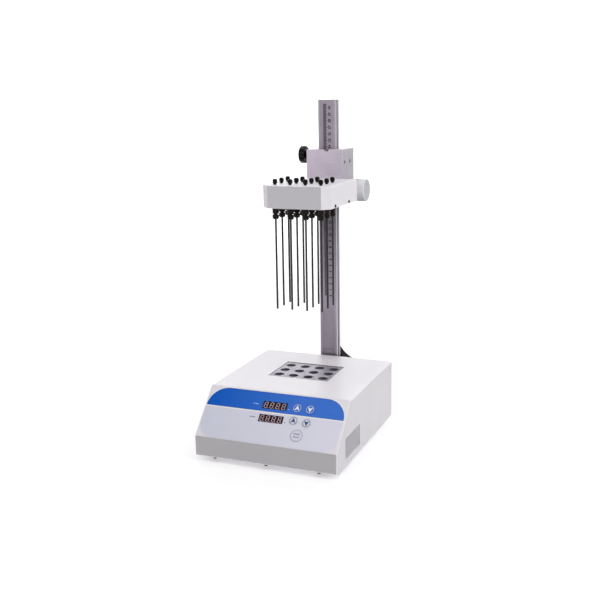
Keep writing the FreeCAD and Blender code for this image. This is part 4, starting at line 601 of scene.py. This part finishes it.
# %% Display digits
SEGMENT_LEAN = math.tan(math.radians(6))
DIGIT_HEIGHT, DIGIT_WIDTH, DIGIT_PITCH, DIGITS_LEFT = 8.8, 4.5, 9.1, 0.4
SEGMENT, LEVEL_CUT, UPRIGHT_CUT, SEGMENT_RISE = 1.25, 0.875, 0.2, 0.08
DOT_RADIUS, DOT_SIDES, DOT_ASIDE = 0.65, 10, 1.4
LEVEL_SEGMENTS = [-0.5, 0.0, 0.5]
UPRIGHT_SEGMENTS = [(x, y) for x in (-0.5, 0.5) for y in (-0.25, 0.25)]
segment_plastic = moulded("unlit LED segment", "#C9AAB5", "#B598A4", 0.5, 0.6)
module_points = vertices("display_modules")
between_modules = sum(reach(module_points, slope_up)) / 2
DISPLAYS = {
    "upper": panel_place([p for p in module_points if (p - slope_low).dot(slope_up) > mm(between_modules)]),
    "lower": panel_place([p for p in module_points if (p - slope_low).dot(slope_up) < mm(between_modules)]),
}


def segment(length, level):
    """A bar with pointed ends around the origin, level or upright."""
    half, side = length / 2, SEGMENT / 2
    along = [(-half, 0), (-half + side, -side), (half - side, -side), (half, 0),
             (half - side, side), (-half + side, side)]
    return along if level else [(-y, x) for x, y in along]


def digits(name, centre_u, centre_v, out):
    tablets, rise = Solids(), slope_out * mm(SEGMENT_RISE)
    for i in range(4):
        digit_u = centre_u + (i - 1.5) * DIGIT_PITCH - DIGITS_LEFT
        bars = [(0, y, segment(DIGIT_WIDTH - LEVEL_CUT, True)) for y in LEVEL_SEGMENTS]
        bars += [(x, y, segment(DIGIT_HEIGHT / 2 - UPRIGHT_CUT, False)) for x, y in UPRIGHT_SEGMENTS]
        for across, above, outline in bars:
            u, v = digit_u + across * DIGIT_WIDTH, above * DIGIT_HEIGHT
            tablets.prism([on_panel(u + x + (v + y) * SEGMENT_LEAN, centre_v + v + y, out)
                           for x, y in outline], rise)
        dot_u, dot_v = digit_u + DIGIT_WIDTH / 2 + DOT_ASIDE, centre_v - DIGIT_HEIGHT / 2
        tablets.prism([on_panel(dot_u + x, dot_v + y, out) for x, y in circle(DOT_RADIUS, DOT_SIDES)], rise)
    tablets.piece(name, segment_plastic, "base", "display_black")


for which, (u, v, out) in DISPLAYS.items():
    digits(which + "_digits", u, v, out)
print("digits:", {which: [round(value, 2) for value in place] for which, place in DISPLAYS.items()})

# %% [markdown]
# The marks of the panel are screen-printed, in four inks. A screen lays ink flat and with a sharp
# edge, so a mark reads by its colour and outline alone. It could be a picture, but the shapes are
# plain: a ring is drawn as a run of short prisms, and a small print as level bars.

# %% Inks and print shapes
INK_RISE = 0.05
ink_white = moulded("screen ink, white", "#FFFFFF", "#F8FAFF", 0.45)
ink_navy = moulded("screen ink, navy", "#27468C", "#223F80", 0.45)
ink_slate = moulded("screen ink, slate", "#7C87B4", "#7480AE", 0.45)
ink_sky = moulded("screen ink, sky", "#A9C4F0", "#9FBCEC", 0.45)


def print_ring(solids, place, radius, width, out, count=48):
    """A flat ring as a run of short prisms, where place gives the point for a mm offset each way."""
    outer, inner = circle(radius, count), circle(radius - width, count)
    for i in range(count):
        j = (i + 1) % count
        corners = inner[i], inner[j], outer[j], outer[i]
        solids.prism([place(*corner) for corner in corners], out * mm(INK_RISE))


def print_bar(solids, left, right, v, half, out):
    """A short level bar of print on the panel."""
    corners = rectangle(left, right, v - half, v + half)
    solids.prism([on_panel(x, y, out) for x, y in corners], slope_out * mm(INK_RISE))


print("inks:", [m.name for m in (ink_white, ink_navy, ink_slate, ink_sky)])

# %% [markdown]
# Each arrow key has a thin ring and an arrow head, white on the blue keys and navy on the pale ones.
# The large key has a wider ring on the film around it and two rows of short bars. The prints on a key
# ride on it, so that they go in with it when it is pressed. Their size is read from the key's cap.
# The arrow head could be one face with a notch, but two triangles are plain and always fill well.

# %% Key marks
ARROW = [(0, 4.6), (4.0, -3.7), (0, -1.5), (-4.0, -3.7)]
ARROW_HALVES = ((0, 1, 2), (0, 2, 3))
ARROW_KEYS = {
    "upper_up": (1, ink_white, 0.5, "key_blue"),
    "upper_down": (-1, ink_white, 0.5, "key_blue"),
    "lower_up": (1, ink_navy, 0.65, "key_pale"),
    "lower_down": (-1, ink_navy, 0.65, "key_pale"),
}
RING_INSET, CAP_SKIN = 0.05, 0.1
START_RING, START_LINE, BAR_HALF = 9.2, 0.5, 0.7
BAR_ROWS, ROW_BARS = (2.2, -2.2), ((-4.4, -1.2), (-0.8, 1.6), (2.0, 4.4))


def arrow_key(key, sign, ink, line, cad_slot):
    cap = vertices(key + "_key")
    u, v, out = panel_place(cap)
    left, right = reach([p for p in cap if (p - slope_low).dot(slope_out) > mm(out - CAP_SKIN)], X)
    radius = (right - left) / 2
    marks = Solids()
    print_ring(marks, lambda x, y: on_panel(u + x, v + y, out), radius - RING_INSET, line, slope_out)
    tips = [on_panel(u + sign * x, v + sign * y, out) for x, y in ARROW]
    for half in ARROW_HALVES:
        marks.prism([tips[i] for i in half], slope_out * mm(INK_RISE))
    marks.piece(key + "_mark", ink, key + "_press", cad_slot)
    print(key, "at", round(u, 2), round(v, 2), "radius", round(radius, 2))


for key, (sign, ink, line, cad_slot) in ARROW_KEYS.items():
    arrow_key(key, sign, ink, line, cad_slot)
u, v, out = panel_place(vertices("start_key"))
start_ring, start_bars = Solids(), Solids()
print_ring(start_ring, lambda x, y: on_panel(u + x, v + y, FILM_SKIN), START_RING, START_LINE, slope_out)
start_ring.piece("start_ring", ink_slate, "base", "overlay_film")
for row in BAR_ROWS:
    for left, right in ROW_BARS:
        print_bar(start_bars, u + left, u + right, v + row, BAR_HALF, out)
start_bars.piece("start_mark", ink_slate, "start_press", "key_pale")
print("start key at", round(u, 2), round(v, 2))

# %% [markdown]
# A small print stands beside each display, and a sign after it. At a few millimetres high they read
# as short bars of ink, so each is drawn as bars of its own length: sky on the blue band, and slate on
# the pale field. Letters could be set in type, but at this size they would only blur to the same bars.

# %% Panel labels
LABEL_LEFT, LABEL_HALF = -33.5, 0.75
SIGN_LEFT, SIGN_RIGHT, SIGN_BELOW, SIGN_HALF = 21.4, 23.4, 3.2, 0.6
LABELS = {
    "upper": (ink_sky, [(0.0, 2.6), (3.4, 7.8)]),
    "lower": (ink_slate, [(0.0, 3.4), (4.2, 8.4)]),
}
for which, (ink, bars) in LABELS.items():
    u, v, out = DISPLAYS[which]
    label = Solids()
    for left, right in bars:
        print_bar(label, LABEL_LEFT + left, LABEL_LEFT + right, v, LABEL_HALF, FILM_SKIN)
    print_bar(label, u + SIGN_LEFT, u + SIGN_RIGHT, v - SIGN_BELOW, SIGN_HALF, FILM_SKIN)
    label.piece(which + "_label", ink, "base", "overlay_film")
print("labels beside", len(LABELS), "displays")

# %% [markdown]
# The ruler on the post has a line every millimetre, longer at every fifth and tenth, and a number
# every ten. They start where the lowered arm still uncovers them, well above the case. The lines are
# cut and filled with dark ink. They could be a picture on the strip, but a thin tablet for each line
# stays sharp from close by.

# %% Ruler lines
RULE_STEP, RULE_FOOT, RULE_TOP_MARGIN = mm(1), mm(90), mm(6)
TEN_LINE, FIVE_LINE, ONE_LINE = mm(7.4), mm(6.2), mm(5.0)
LINE_LEFT, LINE_HALF, LINE_RISE = mm(-5.9), mm(0.29), mm(0.06)
ink_dark = moulded("engraver's ink", "#2E2934", "#26212C", 0.6, shine=0.2)
strip_low, strip_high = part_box("scale_strip")
rule_zero = strip_low.z + RULE_FOOT
steps = int((strip_high.z - RULE_TOP_MARGIN - rule_zero) / RULE_STEP)
ruler = Solids()
for i in range(steps + 1):
    length = TEN_LINE if i % 10 == 0 else FIVE_LINE if i % 5 == 0 else ONE_LINE
    z = rule_zero + i * RULE_STEP
    corners = rectangle(LINE_LEFT, LINE_LEFT + length, z - LINE_HALF, z + LINE_HALF)
    ruler.prism([Vector((x, strip_low.y, z)) for x, z in corners], Y * -LINE_RISE)
ruler.piece("ruler_lines", ink_dark, "base", "scale_aluminium")
print("ruler lines:", steps + 1)

# %% [markdown]
# The numbers read upward, turned on their side beside the lines, in the plain type of an engraver.
# Blender's own font is set as a curve with a little depth and fullness, and then made a mesh, so that
# the numbers travel with the part and need no font file.

# %% Ruler numbers
NUMBER_SIZE, NUMBER_RIGHT, NUMBER_SUNK = mm(5.6), mm(4.6), mm(0.02)
NUMBER_DEPTH, NUMBER_FULLER = mm(0.04), mm(0.16)
READ_UPWARD = Matrix.Rotation(math.pi / 2, 4, "X") @ Matrix.Rotation(math.pi / 2, 4, "Z")


def number_mesh(words, place):
    curve = bpy.data.curves.new("number", "FONT")
    curve.body, curve.size, curve.extrude, curve.offset = words, NUMBER_SIZE, NUMBER_DEPTH, NUMBER_FULLER
    curve.align_x, curve.align_y = "CENTER", "CENTER"
    curve.resolution_u = 2
    typeset = show("number", curve)
    bpy.context.view_layer.update()
    mesh = bpy.data.meshes.new_from_object(typeset)
    bpy.data.objects.remove(typeset)
    mesh.transform(Matrix.Translation(place) @ READ_UPWARD)
    return mesh


joined = bmesh.new()
for i in range(0, steps + 1, 10):
    place = Vector((NUMBER_RIGHT, strip_low.y - NUMBER_SUNK, rule_zero + i * RULE_STEP))
    joined.from_mesh(number_mesh(str(i // 10), place))
numbers = bpy.data.meshes.new("ruler_numbers")
joined.to_mesh(numbers)
joined.free()
mount(show("ruler_numbers", numbers), ink_dark, "base")
print("ruler numbers: 0 to", steps // 10)

# %% [markdown]
# The needles are drawn stainless tube, polished, with an open square-cut tip. Each is drawn here as a
# round tube with its bore, 0.3 mm fuller than the plain solid, as it looks about 3 mm thick in the
# photo. It could be a swept curve, but plain rings of points keep the bore and the edge sharp.

# %% Needle tubes
PARTS_APART = mm(8)
NEEDLE_FULLER, NEEDLE_BORE, TUBE_SIDES = mm(0.3), mm(0.7), 20


def separate(node, direction):
    """The vertices of each part of a node, told apart by their place across a direction."""
    parts = []
    for p in vertices(node):
        flat = p - direction * p.dot(direction)
        part = next((points for place, points in parts if (place - flat).length < PARTS_APART), None)
        if part is None:
            part = []
            parts.append((flat, part))
        part.append(p)
    return [points for place, points in parts]


def extent(points):
    """The low and the high corner of some points."""
    return [Vector([pick(p[i] for p in points) for i in range(3)]) for pick in (min, max)]


tubes = Solids()
for points in separate("needles", Z):
    lowest, highest = extent(points)
    foot = Vector(((lowest.x + highest.x) / 2, (lowest.y + highest.y) / 2, lowest.z))
    radius = (highest.x - lowest.x) / 2 + NEEDLE_FULLER
    tubes.tube(foot, highest.z - lowest.z, radius, NEEDLE_BORE, TUBE_SIDES)
needle_tubes = tubes.piece("needle_tubes", needle_steel, "arm", "needle_steel")
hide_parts("needles")
print("needle tubes of radius mm", round(radius / MM, 2))

# %% [markdown]
# The screws have a cross recess, and the bracket's screws and the two pad adjusters on the carriage's
# side a hexagon. A recess could be cut with a boolean, but seen from a step away it is a dark shape,
# so its shade is painted as a thin black tablet on the head. An adjuster sits in a hole, whose shade
# is painted as a dark rim.

# %% Screw recesses
CROSS_HALF, CROSS_REACH, HEXAGON_RADIUS = 0.25, 1.3, 1.5
HEAD_SKIN, RIM_SIDES = mm(0.5), 24
HOLE_RIM, RIM_WIDTH = 2.6, 1.4
# Painted shade: the recesses and the hole rims are drawn in near-black.
painted_recess_shade = moulded("recess shadow", "#030303", "#020202", 0.9, shine=0.0)
quarter = [(CROSS_HALF, CROSS_HALF), (CROSS_HALF, CROSS_REACH), (-CROSS_HALF, CROSS_REACH)]
CROSS = []
for turn in range(4):
    CROSS += quarter
    quarter = [(-y, x) for x, y in quarter]
HEXAGON = circle(HEXAGON_RADIUS, 6)


def heads(node, direction):
    """The centres of the screw heads that face a direction, each on the head's outer plane."""
    screws = [(max(p.dot(direction) for p in points), extent(points))
              for points in separate(node, direction)]
    outermost = max(top for top, corners in screws)
    places = []
    for top, (lowest, highest) in screws:
        if top > outermost - HEAD_SKIN:
            centre = (lowest + highest) / 2
            places.append(centre + direction * (top - centre.dot(direction)))
    return places


def recesses(name, node, direction, shape, body, sunk_in=None):
    """Painted shade: a recess on each head, and a dark rim on the face around it where it sits in a hole."""
    solids = Solids()
    across = direction.orthogonal().normalized()
    over = direction.cross(across)
    for place in heads(node, direction):
        solids.prism([place + across * mm(x) + over * mm(y) for x, y in shape], direction * mm(INK_RISE))
        if sunk_in:
            face = place + direction * (high(sunk_in) - place).dot(direction)
            print_ring(solids, lambda x, y: face + across * mm(x) + over * mm(y), HOLE_RIM, RIM_WIDTH,
                       direction, RIM_SIDES)
    solids.piece(name, painted_recess_shade, body, "dark_screws")
    print(name, [[round(v / MM, 1) for v in place] for place in heads(node, direction)])


recesses("lip_screw_recesses", "lip_screws", -Z, CROSS, "base")
recesses("bracket_screw_recesses", "bracket_screws", Y, HEXAGON, "base")
recesses("right_chamber_recesses", "chamber_screws", X, CROSS, "arm")
recesses("left_chamber_recesses", "chamber_screws", -X, CROSS, "arm")
recesses("rear_plate_recesses", "carriage_screws", Y, CROSS, "arm")
recesses("adjuster_recesses", "carriage_screws", X, HEXAGON, "arm", sunk_in="carriage_body")

# %% [markdown]
# The rocker has the usual ring and line for off and on, filled with white. Its face is two flats that
# meet at a waist, so each mark lies on its own flat and rides on the rocker when it tips. The flats'
# slopes could be typed in, but read from the rocker's profile they stay right when it changes.

# %% Rocker marks
ROCKER_PROUD = mm(2.2)
OFF_RADIUS, OFF_LINE, OFF_SIDES = 2.4, 0.6, 24
ON_HALF_WIDTH, ON_HALF_LENGTH = 0.3, 2.2
proud = [p for p in vertices("power_rocker") if p.y > high("rear_panel").y + ROCKER_PROUD]
profile = sorted({(round(p.z, 6), round(p.y, 6)) for p in proud})
foot, waist, crest = (Vector((middle("power_rocker").x, y, z)) for z, y in profile)


def on_flat(start, end):
    """A place function and the outward direction of the rocker's flat from start to end."""
    climb, centre = (end - start).normalized(), (start + end) / 2
    return (lambda x, y: centre - X * mm(x) + climb * mm(y)), climb.cross(-X)


marks = Solids()
off_place, off_out = on_flat(foot, waist)
print_ring(marks, off_place, OFF_RADIUS, OFF_LINE, off_out, OFF_SIDES)
on_place, on_out = on_flat(waist, crest)
on_corners = rectangle(-ON_HALF_WIDTH, ON_HALF_WIDTH, -ON_HALF_LENGTH, ON_HALF_LENGTH)
marks.prism([on_place(x, y) for x, y in on_corners], on_out * mm(INK_RISE))
marks.piece("rocker_marks", ink_white, "rocker", "rocker_black")
print("rocker profile", [round(v / MM, 2) for pair in profile for v in pair])

# %% [markdown]
# The inlet's three pins are nickel-plated brass in the moulded well of a mains inlet, two below and
# the earth pin above. The construction model has the pins in its moulding. Their faces could get a
# slot of their own, but a thin plated skin over each pin leaves the model as it is.

# %% Inlet pins
PIN_PITCH, PIN_RISE, PIN_HALF_X, PIN_HALF_Z, PLATING = mm(7), mm(4.125), mm(1), mm(2), mm(0.04)
PIN_FOOT, PIN_LENGTH = mm(13.9), mm(10.9)
PIN_PLACES = ((-1, -1), (0, 1), (1, -1))
inlet, inlet_face = middle("mains_inlet"), high("mains_inlet").y
pins = Solids()
for aside, above in PIN_PLACES:
    x, z = inlet.x + aside * PIN_PITCH, inlet.z + above * PIN_RISE
    half_x, half_z = PIN_HALF_X + PLATING, PIN_HALF_Z + PLATING
    corners = rectangle(x - half_x, x + half_x, z - half_z, z + half_z)
    pins.prism([Vector((x, inlet_face - PIN_FOOT, z)) for x, z in reversed(corners)],
               Y * (PIN_LENGTH + PLATING))
pins.piece("inlet_pins", nickel, "base", "inlet_black")
print("inlet pins:", len(PIN_PLACES))

# %% [markdown]
# A product picture of white gear stands on a seamless sweep: paper that lies flat and curves up far
# behind, so that no horizon shows. A floor and a wall would be simpler, but they meet in a line. The
# paper is a little bright of itself, as if it were lit from its far side.

# %% Paper sweep
FLOOR_HALF, SWEEP_START, SWEEP_RADIUS, SWEEP_HEIGHT, SWEEP_STEPS = 6.0, 2.0, 1.2, 5.0, 8
stage_white = powder_coat("studio paper", "#FFFFFF", "#FDFDFD", 0.9)
paper = stage_white.node_tree.nodes["Principled BSDF"]
paper.inputs["Emission Color"].default_value = grey(1.0)
paper.inputs["Emission Strength"].default_value = 0.25
bend = [math.pi / 2 * i / SWEEP_STEPS for i in range(SWEEP_STEPS + 1)]
sweep_profile = [(-FLOOR_HALF, 0.0)]
sweep_profile += [(SWEEP_START + SWEEP_RADIUS * math.sin(a), SWEEP_RADIUS * (1 - math.cos(a)))
                  for a in bend[:-1]]
sweep_profile.append((SWEEP_START + SWEEP_RADIUS, SWEEP_HEIGHT))
edges = [(x, y, z) for y, z in sweep_profile for x in (-FLOOR_HALF, FLOOR_HALF)]
strips = [(2 * i, 2 * i + 1, 2 * i + 3, 2 * i + 2) for i in range(len(sweep_profile) - 1)]
sweep_mesh = bpy.data.meshes.new("paper_sweep")
sweep_mesh.from_pydata(edges, [], strips)
sweep_mesh.materials.append(stage_white)
show("paper_sweep", sweep_mesh)
print("sweep rises at y =", SWEEP_START, "m")

# %% [markdown]
# The light comes from large soft boxes, which give wide and gentle shades: one from the right, one
# from above and a weak one from the front left. A fourth lights the paper behind, so that it stays
# white up to its corners. A bare lamp would be simpler, but it throws hard shadows.

# %% Soft light


def soft_box(name, place, target, width, height, watts):
    lamp = bpy.data.lights.new(name, "AREA")
    lamp.shape, lamp.size, lamp.size_y, lamp.energy = "RECTANGLE", width, height, watts
    box = show(name, lamp)
    box.location = place
    box.rotation_euler = (Vector(target) - Vector(place)).to_track_quat("-Z", "Y").to_euler()


soft_box("key_box", (2.4, -0.4, 1.5), (0, 0, 0.2), 1.6, 1.6, 17.5)
soft_box("top_box", (0.0, -0.3, 2.6), (0, 0, 0.1), 3.2, 3.2, 50.5)
soft_box("paper_box", (-1.2, 1.2, 1.9), (-2.0, 3.0, 1.0), 4.6, 1.0, 58)
soft_box("front_box", (-1.1, -2.3, 0.5), (0, 0, 0.35), 2.4, 1.6, 3.5)
world = bpy.data.worlds.new("studio")
bpy.context.scene.world = world
world.use_nodes = True
world.node_tree.nodes["Background"].inputs["Color"].default_value = linear("#FFFFFF")
world.node_tree.nodes["Background"].inputs["Strength"].default_value = 0.08
bpy.context.scene.view_settings.view_transform = "Standard"
print("lights: 4 soft boxes")
